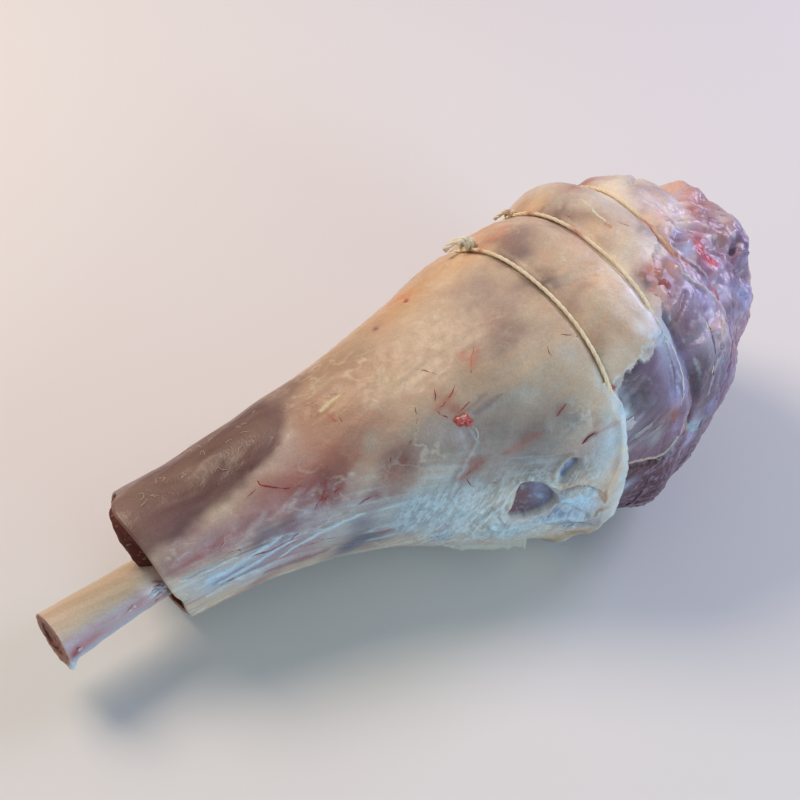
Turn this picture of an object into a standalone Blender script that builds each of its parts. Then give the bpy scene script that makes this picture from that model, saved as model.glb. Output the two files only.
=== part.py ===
"""Raw leg of lamb with its shank bone, the thick end tied with three loops of butcher's twine.

Sizes are in millimetres and become metres when a mesh is made. The leg lies along X with the
shank bone at -X and the thick rump end at +X, its front towards -Y, on a flat spot at z = 0.
A place on the leg's skin is (along, angle): along is the X of its cross-section, and the angle
goes round that section from the front (0 degrees) over the top (90) to the back (180).
"""

import bmesh
import bpy
import numpy as np

MM = 0.001
CLEARANCE = 0.3

# Cross-sections of the leg: along, front, back, underside, top.
LEG_SECTIONS = np.array(
    [
        (-156, -20, 38, 10, 67),
        (-135, -21, 38, 11, 71),
        (-112, -23, 41, 11, 77),
        (-88, -27, 44, 10, 83),
        (-58, -36, 47, 8, 94),
        (-30, -50, 52, 2, 106),
        (-2, -66, 57, -2, 119),
        (25, -78, 62, -4, 128),
        (52, -81, 66, -4, 133),
        (85, -77, 69, -4, 132),
        (110, -68, 70, -3, 126),
        (132, -56, 65, 0, 117),
        (149, -40, 54, 9, 104),
        (159, -20, 38, 26, 88),
    ],
    float,
)
SQUARENESS = 2.25
SIDES = 44
SECTION_STEP = 8
# The rump end closes over this depth, in rings at these parts of it.
END_DEPTH = 5
END_STEPS = (0.5, 0.8, 0.95)

# The shank is sawn on a slant, and the rump end is turned and leans back.
SHANK_SLANT = -0.15
SHANK_SLANT_LENGTH = 45
RUMP_TURN = 0.30
RUMP_LEAN = 0.24
RUMP_FROM, RUMP_TO = 35, 150

# Swellings and hollows of the skin: along, angle, reach along, reach round, height.
LOBES = (
    (40, 128, 14, 40, 3.0),
    (73, 134, 11, 45, 10.0),
    (72, 60, 14, 45, 2.5),
    (101, 126, 15, 35, 6.0),
    (112, 20, 20, 30, 3.0),
    (125, 75, 16, 22, 3.0),
    (142, 68, 15, 26, 9.0),
    (146, 108, 12, 20, 5.0),
    (148, 35, 12, 20, 4.0),
    (134, -20, 14, 22, 2.5),
    (70, -30, 17, 26, 8.0),
    (-4, 12, 11, 11, -3.0),
)
# Past the first loop the fat ends on the front, and the bare meat lies this much lower.
FAT_EDGE_STEP = 4.5
FAT_EDGE_FROM, FAT_EDGE_TO = 25, 37
FAT_EDGE_FADE = (70, 110)
FAT_EDGE_MIDDLE, FAT_EDGE_HALF_ANGLE = -28, 48
FAT_EDGE_BLEND = 12

# Butcher's twine: the loops sit in grooves that they press into the meat.
TWINE_RADIUS = 1.0
LOOP_STATIONS = (24, 58, 88)
GROOVE_DEPTH = 1.9
GROOVE_DEPTH_UNDER = 2.9
# Where on a section "underneath" begins and is reached, as the downward part of its direction.
UNDER_FROM, UNDER_TO = 0.3, 0.75
GROOVE_REACH = 2.2
GROOVE_OFFSETS = (-8, -4.5, -2, 0, 2, 4.5, 8)
# From the bottom of the groove to the middle of the twine: its radius and a gap, on the sloping sides.
TWINE_LIFT = 1.75
TWINE_SIDES = 6
KNOT_ANGLES = (131, 138, 150)
KNOT_SIZES = (3.4, 2.6, 2.4)
KNOT_LENGTH, KNOT_FLATNESS = 1.15, 0.85
KNOT_STAND_OFF = 0.65
TAIL_RADIUS = 1.5
TAIL_STEPS = np.array([0, 0.35, 0.7, 1])
# Each tail of a knot: how far it runs to the side, round the leg and away from the skin.
TAILS = ((-10, 2.5, 0.5), (-7, -3.5, 2))

# The shank bone's centre line and radius: along, across, up, radius.
BONE_LINE = np.array(
    [
        (-207, -6, 32.5, 12.0),
        (-178, -1.5, 33, 11.2),
        (-151, 2.5, 33.5, 10.6),
        (-100, 6, 38, 10.0),
        (-40, 5, 47, 12.0),
    ],
    float,
)
BONE_SIDES = 16
BONE_STEPS = 14
BONE_SLANT = -0.12
BONE_SLANT_LENGTH = 30
# Where the meat's socket and the marrow's bore start, clear of the surfaces they cut.
SOCKET_START = -192
BORE_START = -210
MARROW_PART = 0.62
MARROW_SIDES = 12
MARROW_STEPS = 6
MARROW_END = -60
MARROW_RECESS = 0.8

# The hollow under the bone where the meat has drawn back from it: centre and half sizes.
MOUTH_CENTRE = (-151, 1, 21)
MOUTH_HALF_SIZES = (14, 14, 8)


def smooth_steps(start, end, value):
    """0 before start, 1 past end, and 3t^2 - 2t^3 between them."""
    part = np.clip((value - start) / (end - start), 0, 1)
    return part * part * (3 - 2 * part)


def smooth_row(stations, values, places):
    """Values between stations, on cubics that never swing past the stations' own values."""
    gaps = np.diff(stations)
    slopes = np.diff(values) / gaps
    before, after = slopes[:-1], slopes[1:]
    same_way = before * after > 0
    total = np.where(same_way, before + after, 1)
    tangents = np.concatenate(([slopes[0]], np.where(same_way, 2 * before * after / total, 0), [slopes[-1]]))
    index = np.clip(np.searchsorted(stations, places) - 1, 0, len(gaps) - 1)
    gap = gaps[index]
    part = (places - stations[index]) / gap
    rest = 1 - part
    return (
        (1 + 2 * part) * rest**2 * values[index]
        + part * rest**2 * gap * tangents[index]
        + part**2 * (1 + 2 * rest) * values[index + 1]
        - part**2 * rest * gap * tangents[index + 1]
    )


def angle_between(angle, centre):
    """The signed turn in degrees from centre to angle, between -180 and 180."""
    return (angle - centre + 180) % 360 - 180


def skin_points(along, angle):
    """Points of the leg's skin, without the twine's grooves, and the way out from each."""
    front, back, under, top = (smooth_row(LEG_SECTIONS[:, 0], LEG_SECTIONS[:, k], along) for k in range(1, 5))
    centre_y, half_width = (front + back) / 2, (back - front) / 2
    centre_z, half_height = (under + top) / 2, (top - under) / 2
    turned = np.radians(angle)
    out_y, out_z = -np.cos(turned), np.sin(turned)
    squared = (np.abs(out_y) ** SQUARENESS + np.abs(out_z) ** SQUARENESS) ** (-1 / SQUARENESS)
    out_y, out_z = out_y * squared, out_z * squared
    swell = np.zeros(np.broadcast(along, angle).shape)
    for lobe_along, lobe_angle, reach, reach_round, height in LOBES:
        arc = np.radians(angle_between(angle, lobe_angle)) * (half_width + half_height) / 2
        swell = swell + height * np.exp(-(((along - lobe_along) / reach) ** 2) - (arc / reach_round) ** 2)
    beside = np.abs(angle_between(angle, FAT_EDGE_MIDDLE))
    within = smooth_steps(-FAT_EDGE_BLEND, FAT_EDGE_BLEND, FAT_EDGE_HALF_ANGLE - beside)
    step_down = smooth_steps(FAT_EDGE_FROM, FAT_EDGE_TO, along) * (1 - smooth_steps(*FAT_EDGE_FADE, along))
    swell = swell - FAT_EDGE_STEP * within * step_down
    y = centre_y + (half_width + swell) * out_y
    z = centre_z + (half_height + swell) * out_z
    slanted = 1 - smooth_steps(LEG_SECTIONS[0, 0], LEG_SECTIONS[0, 0] + SHANK_SLANT_LENGTH, along)
    rump = smooth_steps(RUMP_FROM, RUMP_TO, along)
    x = along + SHANK_SLANT * slanted * (z - centre_z)
    x = x + rump * (RUMP_TURN * (y - centre_y) + RUMP_LEAN * (z - centre_z))
    return np.stack([x, y, np.maximum(z, 0)], -1), np.stack([np.zeros_like(y), out_y, out_z], -1)


def groove_depth(along, angle):
    """How deep the twine has pressed in: a bell curve across each loop, deeper underneath."""
    under = smooth_steps(UNDER_FROM, UNDER_TO, -np.sin(np.radians(angle)))
    depth = GROOVE_DEPTH + (GROOVE_DEPTH_UNDER - GROOVE_DEPTH) * under
    return sum(depth * np.exp(-(((along - loop) / GROOVE_REACH) ** 2)) for loop in LOOP_STATIONS)


def leg_points(along, angle):
    """Points of the leg's surface, grooves included."""
    points, outward = skin_points(along, angle)
    return points - outward * groove_depth(along, angle)[..., None]


def leg_stations():
    """Cross-sections a step apart, with finer ones across each groove."""
    first, last = LEG_SECTIONS[0, 0], LEG_SECTIONS[-1, 0]
    fine = [loop + offset for loop in LOOP_STATIONS for offset in GROOVE_OFFSETS]
    coarse = np.linspace(first, last, round((last - first) / SECTION_STEP) + 1)
    reach = GROOVE_OFFSETS[-1] + SECTION_STEP / 2
    kept = [x for x in coarse if min(abs(x - loop) for loop in LOOP_STATIONS) > reach]
    return np.array(sorted(kept + fine))


def new_material(name, colour, roughness):
    """A Principled BSDF material of one colour."""
    material = bpy.data.materials.new(name)
    material.use_nodes = True
    shader = material.node_tree.nodes["Principled BSDF"]
    shader.inputs["Base Color"].default_value = (*colour, 1)
    shader.inputs["Roughness"].default_value = roughness
    return material


def new_object(name, points, faces, material=None):
    """A smooth-shaded object at the origin, from points in millimetres."""
    mesh = bpy.data.meshes.new(name)
    mesh.from_pydata((np.asarray(points) * MM).tolist(), [], faces)
    shell = bmesh.new()
    shell.from_mesh(mesh)
    bmesh.ops.recalc_face_normals(shell, faces=shell.faces)
    shell.to_mesh(mesh)
    shell.free()
    mesh.shade_smooth()
    mesh.update()
    if material:
        mesh.materials.append(material)
    made = bpy.data.objects.new(name, mesh)
    bpy.context.collection.objects.link(made)
    return made


def loft(rings, closed_loop=False):
    """Points and faces of a tube through equal rings, with flat ends unless its rings close a loop."""
    count, sides = len(rings), len(rings[0])
    points = np.concatenate(rings)
    faces = []
    for i in range(count if closed_loop else count - 1):
        here, there = i * sides, (i + 1) % count * sides
        for j in range(sides):
            k = (j + 1) % sides
            faces.append((here + j, here + k, there + k, there + j))
    if not closed_loop:
        faces.append(tuple(reversed(range(sides))))
        faces.append(tuple(range((count - 1) * sides, count * sides)))
    return points, faces


def use_as_cutter(cutter):
    """Keeps a helper out of the model: it only shapes its neighbour."""
    cutter.hide_render = True
    cutter.display_type = "WIRE"


def combine(target, other, operation):
    """Adds an exact Boolean with a helper object."""
    modifier = target.modifiers.new(f"{operation.lower()} {other.name}", "BOOLEAN")
    modifier.operation = operation
    modifier.solver = "EXACT"
    modifier.object = other
    use_as_cutter(other)


def ball(name, centre, half_sizes, turn_degrees=0.0, columns=12, rows=8):
    """An ellipsoid turned about the X axis, as a helper or a lump."""
    around = np.linspace(0, 2 * np.pi, columns, endpoint=False)
    rings = []
    for fall in np.linspace(-0.5 * np.pi, 0.5 * np.pi, rows + 1)[1:-1]:
        flat = np.full(columns, np.sin(fall))
        rings.append(np.stack([flat, np.cos(fall) * np.cos(around), np.cos(fall) * np.sin(around)], -1))
    points, faces = loft([ring * np.array(half_sizes) for ring in rings])
    turn = np.radians(turn_degrees)
    y = points[:, 1] * np.cos(turn) - points[:, 2] * np.sin(turn)
    z = points[:, 1] * np.sin(turn) + points[:, 2] * np.cos(turn)
    return new_object(name, np.stack([points[:, 0], y, z], -1) + np.array(centre), faces)


def bone_rings(spread, first, last, steps, sides, radius_part=1.0):
    """Rings round the bone's centre line from station first to last, sawn on a slant at the tip."""
    around = np.radians(np.linspace(0, 360, sides, endpoint=False))
    rings = []
    for along in np.linspace(first, last, steps):
        y, z, radius = (smooth_row(BONE_LINE[:, 0], BONE_LINE[:, k], np.array(along)) for k in (1, 2, 3))
        reach = radius * radius_part + spread
        ring_y, ring_z = y - reach * np.cos(around), z + reach * np.sin(around)
        slanted = 1 - smooth_steps(BONE_LINE[0, 0], BONE_LINE[0, 0] + BONE_SLANT_LENGTH, along)
        rings.append(np.stack([along + BONE_SLANT * slanted * (ring_z - z), ring_y, ring_z], -1))
    return rings


def make_bone(material):
    """The shank bone: a long tube, open at the sawn tip, with its end inside the meat closed."""
    first, last = BONE_LINE[0, 0], BONE_LINE[-1, 0]
    bone = new_object("shank_bone", *loft(bone_rings(0, first, last, BONE_STEPS, BONE_SIDES)), material)
    bore = bone_rings(CLEARANCE, BORE_START, MARROW_END + CLEARANCE, MARROW_STEPS, MARROW_SIDES, MARROW_PART)
    combine(bone, new_object("marrow_bore", *loft(bore)), "DIFFERENCE")
    return bone


def make_marrow(material):
    """The marrow that fills the bone's bore, a little below the sawn rim."""
    first = BONE_LINE[0, 0] + MARROW_RECESS
    rings = bone_rings(0, first, MARROW_END, MARROW_STEPS, MARROW_SIDES, MARROW_PART)
    return new_object("marrow", *loft(rings), material)


def make_meat(material):
    """The boned-out rump and the shank in one piece, hollowed for the bone."""
    angles = np.linspace(0, 360, SIDES, endpoint=False)
    rings = [leg_points(np.full(SIDES, x), angles) for x in leg_stations()]
    middle = rings[-1].mean(axis=0)
    last = rings[-1]
    for part in END_STEPS:
        ring = middle + (last - middle) * np.sqrt(1 - part**2)
        ring[:, 0] += END_DEPTH * part
        rings.append(ring)
    meat = new_object("meat", *loft(rings), material)
    socket = bone_rings(CLEARANCE, SOCKET_START, BONE_LINE[-1, 0] + CLEARANCE, BONE_STEPS, BONE_SIDES)
    combine(meat, new_object("bone_socket", *loft(socket)), "DIFFERENCE")
    combine(meat, ball("mouth_hollow", MOUTH_CENTRE, MOUTH_HALF_SIZES), "DIFFERENCE")
    return meat


def tube_rings(path, radius, sides, closed_loop, sideways=(1.0, 0, 0)):
    """Rings of a round cord along a path that never runs in the sideways direction."""
    sideways = np.array(sideways)
    ahead = np.roll(path, -1, axis=0) - np.roll(path, 1, axis=0)
    if not closed_loop:
        ahead[0], ahead[-1] = path[1] - path[0], path[-1] - path[-2]
    ahead = ahead / np.linalg.norm(ahead, axis=1)[:, None]
    side = sideways - ahead * (ahead @ sideways)[:, None]
    side = side / np.linalg.norm(side, axis=1)[:, None]
    other = np.cross(ahead, side)
    around = np.radians(np.linspace(0, 360, sides, endpoint=False))
    return [
        point + radius * (np.cos(around)[:, None] * a + np.sin(around)[:, None] * b)
        for point, a, b in zip(path, side, other)
    ]


def make_string(name, loop, knot_angle, knot_size, material):
    """One loop of twine in its groove, with a knot and two cut tails on the back of the leg."""
    angles = np.linspace(0, 360, SIDES, endpoint=False)
    stations = np.full(SIDES, float(loop))
    _, outward = skin_points(stations, angles)
    outward = outward / np.linalg.norm(outward, axis=1)[:, None]
    path = leg_points(stations, angles) + outward * TWINE_LIFT
    string = new_object(name, *loft(tube_rings(path, TWINE_RADIUS, TWINE_SIDES, True), True), material)
    knot_at = int(round(knot_angle / 360 * SIDES)) % SIDES
    centre, out = path[knot_at], outward[knot_at]
    lump_centre = centre + out * (knot_size * KNOT_FLATNESS + KNOT_STAND_OFF)
    sizes = (knot_size * KNOT_LENGTH, knot_size, knot_size * KNOT_FLATNESS)
    combine(string, ball(f"{name}_knot", lump_centre, sizes, 90 - knot_angle), "UNION")
    round_leg = np.cross(out, (1.0, 0, 0))
    for number, (sideways, around, away) in enumerate(TAILS):
        run = np.array([sideways, 0, 0]) + around * round_leg + away * out
        tail_path = lump_centre + np.outer(TAIL_STEPS * knot_size / KNOT_SIZES[0], run)
        tail_path += np.outer(np.sin(np.pi * TAIL_STEPS), out)
        tail_rings = tube_rings(tail_path, TAIL_RADIUS, TWINE_SIDES, False, out)
        tail = new_object(f"{name}_tail_{number}", *loft(tail_rings))
        combine(string, tail, "UNION")
    return string


def centre_on_origin(made):
    """Hangs everything on one empty, placed so that the middle of the model's box is over the origin."""
    bpy.context.view_layer.update()
    graph = bpy.context.evaluated_depsgraph_get()
    corners = []
    for item in made:
        shape = item.evaluated_get(graph).to_mesh()
        corners += [vertex.co.copy() for vertex in shape.vertices]
        item.evaluated_get(graph).to_mesh_clear()
    corners = np.array(corners)
    middle = (corners.min(axis=0) + corners.max(axis=0)) / 2
    whole = bpy.data.objects.new("leg_of_lamb", None)
    bpy.context.collection.objects.link(whole)
    for item in bpy.data.objects:
        if item != whole:
            item.parent = whole
    whole.location = (-middle[0], -middle[1], 0)


def main():
    for old in list(bpy.data.objects):
        bpy.data.objects.remove(old, do_unlink=True)
    meat_red = new_material("raw lamb", (0.42, 0.25, 0.22), 0.45)
    bone_cream = new_material("bone", (0.66, 0.54, 0.40), 0.4)
    marrow_brown = new_material("marrow", (0.36, 0.16, 0.10), 0.6)
    twine_tan = new_material("cotton twine", (0.70, 0.58, 0.40), 0.85)
    made = [make_meat(meat_red), make_bone(bone_cream), make_marrow(marrow_brown)]
    for number, loop in enumerate(LOOP_STATIONS):
        angle, size = KNOT_ANGLES[number], KNOT_SIZES[number]
        made.append(make_string(f"string_{number + 1}", loop, angle, size, twine_tan))
    centre_on_origin(made)


main()
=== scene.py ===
# %% [markdown]
# # A raw leg of lamb, dressed over its CAD model
# A butcher's leg: the shank bone is sawn off and sticks out, a cap of fat covers the thigh, and the
# thick end, with its bones taken out, is tied with three loops of twine. The CAD model fixes every
# size. This script gives each part of it a finely shaped skin, its colours and its wet gloss.

import bpy
import numpy as np
from mathutils import Matrix, Vector


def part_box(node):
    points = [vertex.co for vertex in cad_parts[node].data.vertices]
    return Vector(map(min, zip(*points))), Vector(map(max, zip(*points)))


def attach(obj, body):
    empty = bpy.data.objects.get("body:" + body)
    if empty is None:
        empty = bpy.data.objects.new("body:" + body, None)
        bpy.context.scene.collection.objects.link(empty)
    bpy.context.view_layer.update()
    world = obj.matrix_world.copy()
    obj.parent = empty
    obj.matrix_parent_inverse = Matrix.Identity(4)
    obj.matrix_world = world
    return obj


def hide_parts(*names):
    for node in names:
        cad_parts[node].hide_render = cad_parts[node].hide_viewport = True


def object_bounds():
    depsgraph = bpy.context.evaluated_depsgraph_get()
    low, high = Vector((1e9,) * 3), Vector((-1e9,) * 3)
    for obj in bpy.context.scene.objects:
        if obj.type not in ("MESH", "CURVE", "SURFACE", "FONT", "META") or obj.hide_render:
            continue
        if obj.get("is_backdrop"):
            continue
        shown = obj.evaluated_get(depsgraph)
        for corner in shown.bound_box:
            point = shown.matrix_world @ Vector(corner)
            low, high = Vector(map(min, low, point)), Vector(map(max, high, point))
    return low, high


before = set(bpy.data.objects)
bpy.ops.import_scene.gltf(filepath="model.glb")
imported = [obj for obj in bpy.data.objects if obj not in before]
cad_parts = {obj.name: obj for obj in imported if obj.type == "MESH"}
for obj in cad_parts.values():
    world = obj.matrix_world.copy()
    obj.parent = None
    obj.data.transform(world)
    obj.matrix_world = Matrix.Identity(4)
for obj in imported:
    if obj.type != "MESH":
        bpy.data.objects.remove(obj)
cad_low, cad_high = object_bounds()
MM = 0.001
print("nodes:", sorted(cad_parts))

# %% [markdown]
# ## Two frames
# The leg's own measures put the bone's sawn tip at a known place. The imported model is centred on
# the origin instead, so one shift, read from the bone's box, carries every point across.

# %% From the leg's measures to the model
BONE_LOW_X, BONE_LOW_Y = -208.44, -18.0
bone_low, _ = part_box("shank_bone")
SHIFT = np.array([bone_low.x / MM - BONE_LOW_X, bone_low.y / MM - BONE_LOW_Y, 0.0])
BOX_LOW = np.array(cad_low) / MM + 0.02
BOX_HIGH = np.array(cad_high) / MM - 0.02
print("shift in millimetres:", SHIFT.round(3))


def to_model(points):
    """The leg's millimetres as the model's, kept inside the CAD box: point + shift, then limited."""
    return np.clip(np.asarray(points, float) + SHIFT, BOX_LOW, BOX_HIGH)


# %% [markdown]
# ## Camera
# The leg is seen from above its front left, with the bone coming towards the eye. A camera is
# placed by angles round the object: azimuth, elevation and a small roll about its own axis.

# %% Camera
AZIMUTH, ELEVATION, ROLL = np.radians((-42.5, 42.0, 9.0))
VIEW_DISTANCE, LENS = 600.0, 59.0
LOOK_AT = np.array([-22.6, 15.7, 60.9]) + SHIFT

view_back = np.array([np.sin(AZIMUTH) * np.cos(ELEVATION), -np.cos(AZIMUTH) * np.cos(ELEVATION), np.sin(ELEVATION)])
level_right = np.array([np.cos(AZIMUTH), np.sin(AZIMUTH), 0.0])
level_up = np.cross(view_back, level_right)
view_right = np.cos(ROLL) * level_right + np.sin(ROLL) * level_up
view_up = -np.sin(ROLL) * level_right + np.cos(ROLL) * level_up

camera_data = bpy.data.cameras.new("camera")
camera_data.lens = LENS
camera_data.sensor_width = 36.0
camera = bpy.data.objects.new("camera", camera_data)
bpy.context.collection.objects.link(camera)
camera_place = (LOOK_AT + VIEW_DISTANCE * view_back) * MM
camera.matrix_world = Matrix(
    [[*row, place] for row, place in zip(np.stack([view_right, view_up, view_back], 1), camera_place)]
    + [[0, 0, 0, 1]]
)
bpy.context.scene.camera = camera
print("camera at", camera_place.round(3))

# %% [markdown]
# ## Colours
# Colours are written as on screen, in hex. A renderer adds light, so it needs them linear.


# %% Screen colour to linear
def linear(code):
    """#RRGGBB as linear light: ((c + 0.055) / 1.055) ^ 2.4 for each part, or c / 12.92 when dark."""
    parts = np.array([int(code[k : k + 2], 16) for k in (1, 3, 5)]) / 255
    return np.where(parts > 0.04045, ((parts + 0.055) / 1.055) ** 2.4, parts / 12.92)


# %% [markdown]
# ## Stage and light
# A pale floor, a warm soft light from above the far side, and a cool one like a window from low at
# the front. The cool light slides along wet surfaces and turns their gloss blue, as daylight does.


# %% Nodes and objects
def add_node(tree, kind, links=None, **settings):
    """One node: settings that name an attribute are set on it, the rest on its sockets by name."""
    node = tree.nodes.new(kind)
    for name, value in settings.items():
        if hasattr(node, name):
            setattr(node, name, value)
        else:
            node.inputs[name.replace("_", " ")].default_value = value
    for socket, source in (links or {}).items():
        tree.links.new(source, node.inputs[socket])
    return node


def set_sockets(node, values):
    """Gives sockets, by name or number, their values."""
    for socket, value in values.items():
        node.inputs[socket].default_value = value


def new_tree_material(name):
    """An empty node material with its Principled shader, tree and output in place."""
    material = bpy.data.materials.new(name)
    material.use_nodes = True
    return material, material.node_tree, material.node_tree.nodes["Principled BSDF"]


def add_object(name, data):
    """An object of this data, in the scene's collection."""
    added = bpy.data.objects.new(name, data)
    bpy.context.collection.objects.link(added)
    return added


# %% Floor, lights and world
FLOOR_REACH, FLOOR_DEPTH = 4.0, 0.0003
floor_mesh = bpy.data.meshes.new("floor")
floor_corners = [(x * FLOOR_REACH, y * FLOOR_REACH, -FLOOR_DEPTH) for x, y in ((-1, -1), (1, -1), (1, 1), (-1, 1))]
floor_mesh.from_pydata(floor_corners, [], [(0, 1, 2, 3)])
floor = add_object("floor", floor_mesh)
floor_paint, _, floor_shader = new_tree_material("matt pale card")
set_sockets(floor_shader, {"Base Color": (*linear("#D9D6D2"), 1), "Roughness": 0.9})
floor_mesh.materials.append(floor_paint)
floor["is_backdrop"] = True

# Each light: direction from the leg along the view's right, up and back, distance and size in
# metres, power in watts, colour.
LIGHTS = {
    "warm_key": ((-0.55, 0.85, 0.35), 1.3, 0.7, 12.6, "#FFEBD6"),
    "cool_window": ((0.75, -0.35, 0.65), 1.3, 0.7, 10.5, "#BFE6FF"),
    "far_fill": ((0.9, 0.9, -0.1), 1.5, 0.6, 9.5, "#DDD6FF"),
}
for name, (direction, distance, size, power, colour) in LIGHTS.items():
    lamp_data = bpy.data.lights.new(name, "AREA")
    lamp_data.shape = "DISK"
    lamp_data.size = size
    lamp_data.energy = power
    lamp_data.color = tuple(linear(colour))
    lamp = add_object(name, lamp_data)
    way = Vector(direction[0] * view_right + direction[1] * view_up + direction[2] * view_back).normalized()
    lamp.location = Vector(LOOK_AT * MM) + way * distance
    lamp.rotation_euler = way.to_track_quat("Z", "Y").to_euler()
    print(name, "at", [round(x, 2) for x in lamp.location])

world = bpy.data.worlds.new("studio")
world.use_nodes = True
set_sockets(world.node_tree.nodes["Background"], {"Color": (*linear("#EEF0F4"), 1), "Strength": 0.34})
bpy.context.scene.world = world
bpy.context.scene.view_settings.view_transform = "Standard"

# %% [markdown]
# ## The leg as a function of two numbers
# Every place on the skin is (along, angle): a cross-section, and how far round it, from the front
# (0 degrees) over the top (90) to the back (180). These are the CAD model's own formulas, so the
# fine skin lies exactly on the plain solid.

# %% Cross-sections and swellings
# Cross-sections of the leg: along, front, back, underside, top.
LEG_SECTIONS = np.array([
    (-156, -20, 38, 7.5, 67), (-135, -21, 38, 9.5, 71), (-112, -23, 41, 11, 77), (-88, -27, 44, 10, 83),
    (-58, -36, 47, 8, 94), (-30, -50, 52, 2, 106), (-2, -66, 57, -2, 119), (25, -78, 62, -4, 128),
    (52, -81, 66, -4, 133), (85, -77, 69, -4, 132), (110, -68, 70, -3, 126), (132, -56, 65, 0, 117),
    (149, -40, 54, 9, 104), (159, -20, 38, 26, 88),
], float)
SQUARENESS = 2.25
SHANK_END, RUMP_END = LEG_SECTIONS[0, 0], LEG_SECTIONS[-1, 0]
SHANK_SLANT, SHANK_SLANT_LENGTH = -0.15, 45
RUMP_TURN, RUMP_LEAN, RUMP_FROM, RUMP_TO = 0.30, 0.24, 35, 150
# How the saw's cut wanders from that slant round the shank: angle, move along.
SAW_WANDER = np.array([
    (-90, 5), (-45, 6), (-10, 2), (2, 1.2), (10, -0.8), (19, -2.2), (36, -4), (58, -5.4), (79, -6.8), (93, -7.2),
    (110, -5.6), (119, -1.6), (138, 1.0), (158, 0.4), (185, 0.4), (230, 2.5), (270, 5),
], float)
SAW_WANDER_LENGTH = 28
# Swellings and hollows: along, angle, reach along, reach round, height.
LOBES = (
    (40, 128, 14, 40, 3.0), (73, 134, 11, 45, 10.0), (72, 60, 14, 45, 2.5), (101, 126, 15, 35, 6.0),
    (112, 20, 20, 30, 3.0), (125, 75, 16, 22, 3.0), (142, 68, 15, 26, 9.0), (146, 108, 12, 20, 5.0),
    (148, 35, 12, 20, 4.0), (134, -20, 14, 22, 2.5), (70, -30, 17, 26, 8.0), (-4, 12, 11, 11, -3.0),
)
FAT_EDGE_STEP, FAT_EDGE_FROM, FAT_EDGE_TO, FAT_EDGE_FADE = 4.5, 25, 37, (70, 110)
FAT_EDGE_MIDDLE, FAT_EDGE_HALF_ANGLE, FAT_EDGE_BLEND = -28, 48, 12
LOOP_STATIONS = (24, 58, 88)
GROOVE_DEPTH, GROOVE_DEPTH_UNDER, GROOVE_REACH = 1.9, 2.9, 2.2
UNDER_FROM, UNDER_TO = 0.3, 0.75
# The rump end closes over this many millimetres of "along", as a shallow dome this deep.
END_RUN, END_DEPTH = 30, 5


# %% Smooth helpers
def smooth_steps(start, end, value):
    """0 before start, 1 past end, and 3t^2 - 2t^3 between them."""
    part = np.clip((value - start) / (end - start), 0, 1)
    return part * part * (3 - 2 * part)


def smooth_row(stations, values, places):
    """Values between stations, on cubics that never swing past the stations' own values."""
    gaps = np.diff(stations)
    slopes = np.diff(values) / gaps
    before, after = slopes[:-1], slopes[1:]
    same_way = before * after > 0
    total = np.where(same_way, before + after, 1)
    tangents = np.concatenate(([slopes[0]], np.where(same_way, 2 * before * after / total, 0), [slopes[-1]]))
    index = np.clip(np.searchsorted(stations, places) - 1, 0, len(gaps) - 1)
    gap = gaps[index]
    part = (places - stations[index]) / gap
    rest = 1 - part
    return (
        (1 + 2 * part) * rest**2 * values[index]
        + part * rest**2 * gap * tangents[index]
        + part**2 * (1 + 2 * rest) * values[index + 1]
        - part**2 * rest * gap * tangents[index + 1]
    )


def angle_between(angle, centre):
    """The signed turn in degrees from centre to angle, between -180 and 180."""
    return (angle - centre + 180) % 360 - 180


def half_sizes(along):
    """Middle and half size of the cross-section, across and up: (a + b) / 2 and (b - a) / 2."""
    front, back, under, top = (smooth_row(LEG_SECTIONS[:, 0], LEG_SECTIONS[:, k], along) for k in range(1, 5))
    return (front + back) / 2, (back - front) / 2, (under + top) / 2, (top - under) / 2


# %% The skin
def saw_wander(angle):
    """Millimetres along that the sawn edge moves at this angle."""
    return smooth_row(*SAW_WANDER.T, angle_between(angle, 90) + 90)


def skin_points(along, angle, step=1.0):
    """A squared oval |y/a|^2.25 + |z/b|^2.25 = 1, swollen by bell curves and leaning at both ends."""
    centre_y, half_width, centre_z, half_height = half_sizes(along)
    turned = np.radians(angle)
    out_y, out_z = -np.cos(turned), np.sin(turned)
    squared = (np.abs(out_y) ** SQUARENESS + np.abs(out_z) ** SQUARENESS) ** (-1 / SQUARENESS)
    out_y, out_z = out_y * squared, out_z * squared
    swell = np.zeros(np.broadcast(along, angle).shape)
    for lobe_along, lobe_angle, reach, reach_round, height in LOBES:
        arc = np.radians(angle_between(angle, lobe_angle)) * (half_width + half_height) / 2
        swell = swell + height * np.exp(-(((along - lobe_along) / reach) ** 2) - (arc / reach_round) ** 2)
    beside = np.abs(angle_between(angle, FAT_EDGE_MIDDLE))
    within = smooth_steps(-FAT_EDGE_BLEND, FAT_EDGE_BLEND, FAT_EDGE_HALF_ANGLE - beside)
    step_down = smooth_steps(FAT_EDGE_FROM, FAT_EDGE_TO, along) * (1 - smooth_steps(*FAT_EDGE_FADE, along))
    swell = swell - FAT_EDGE_STEP * step * within * step_down
    y = centre_y + (half_width + swell) * out_y
    z = centre_z + (half_height + swell) * out_z
    slanted = 1 - smooth_steps(SHANK_END, SHANK_END + SHANK_SLANT_LENGTH, along)
    rump = smooth_steps(RUMP_FROM, RUMP_TO, along)
    x = along + SHANK_SLANT * slanted * (z - centre_z)
    x = x + saw_wander(angle) * (1 - smooth_steps(SHANK_END, SHANK_END + SAW_WANDER_LENGTH, along))
    x = x + rump * (RUMP_TURN * (y - centre_y) + RUMP_LEAN * (z - centre_z))
    return np.stack([x, y, np.maximum(z, 0)], -1), np.stack([np.zeros_like(y), out_y, out_z], -1)


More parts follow.
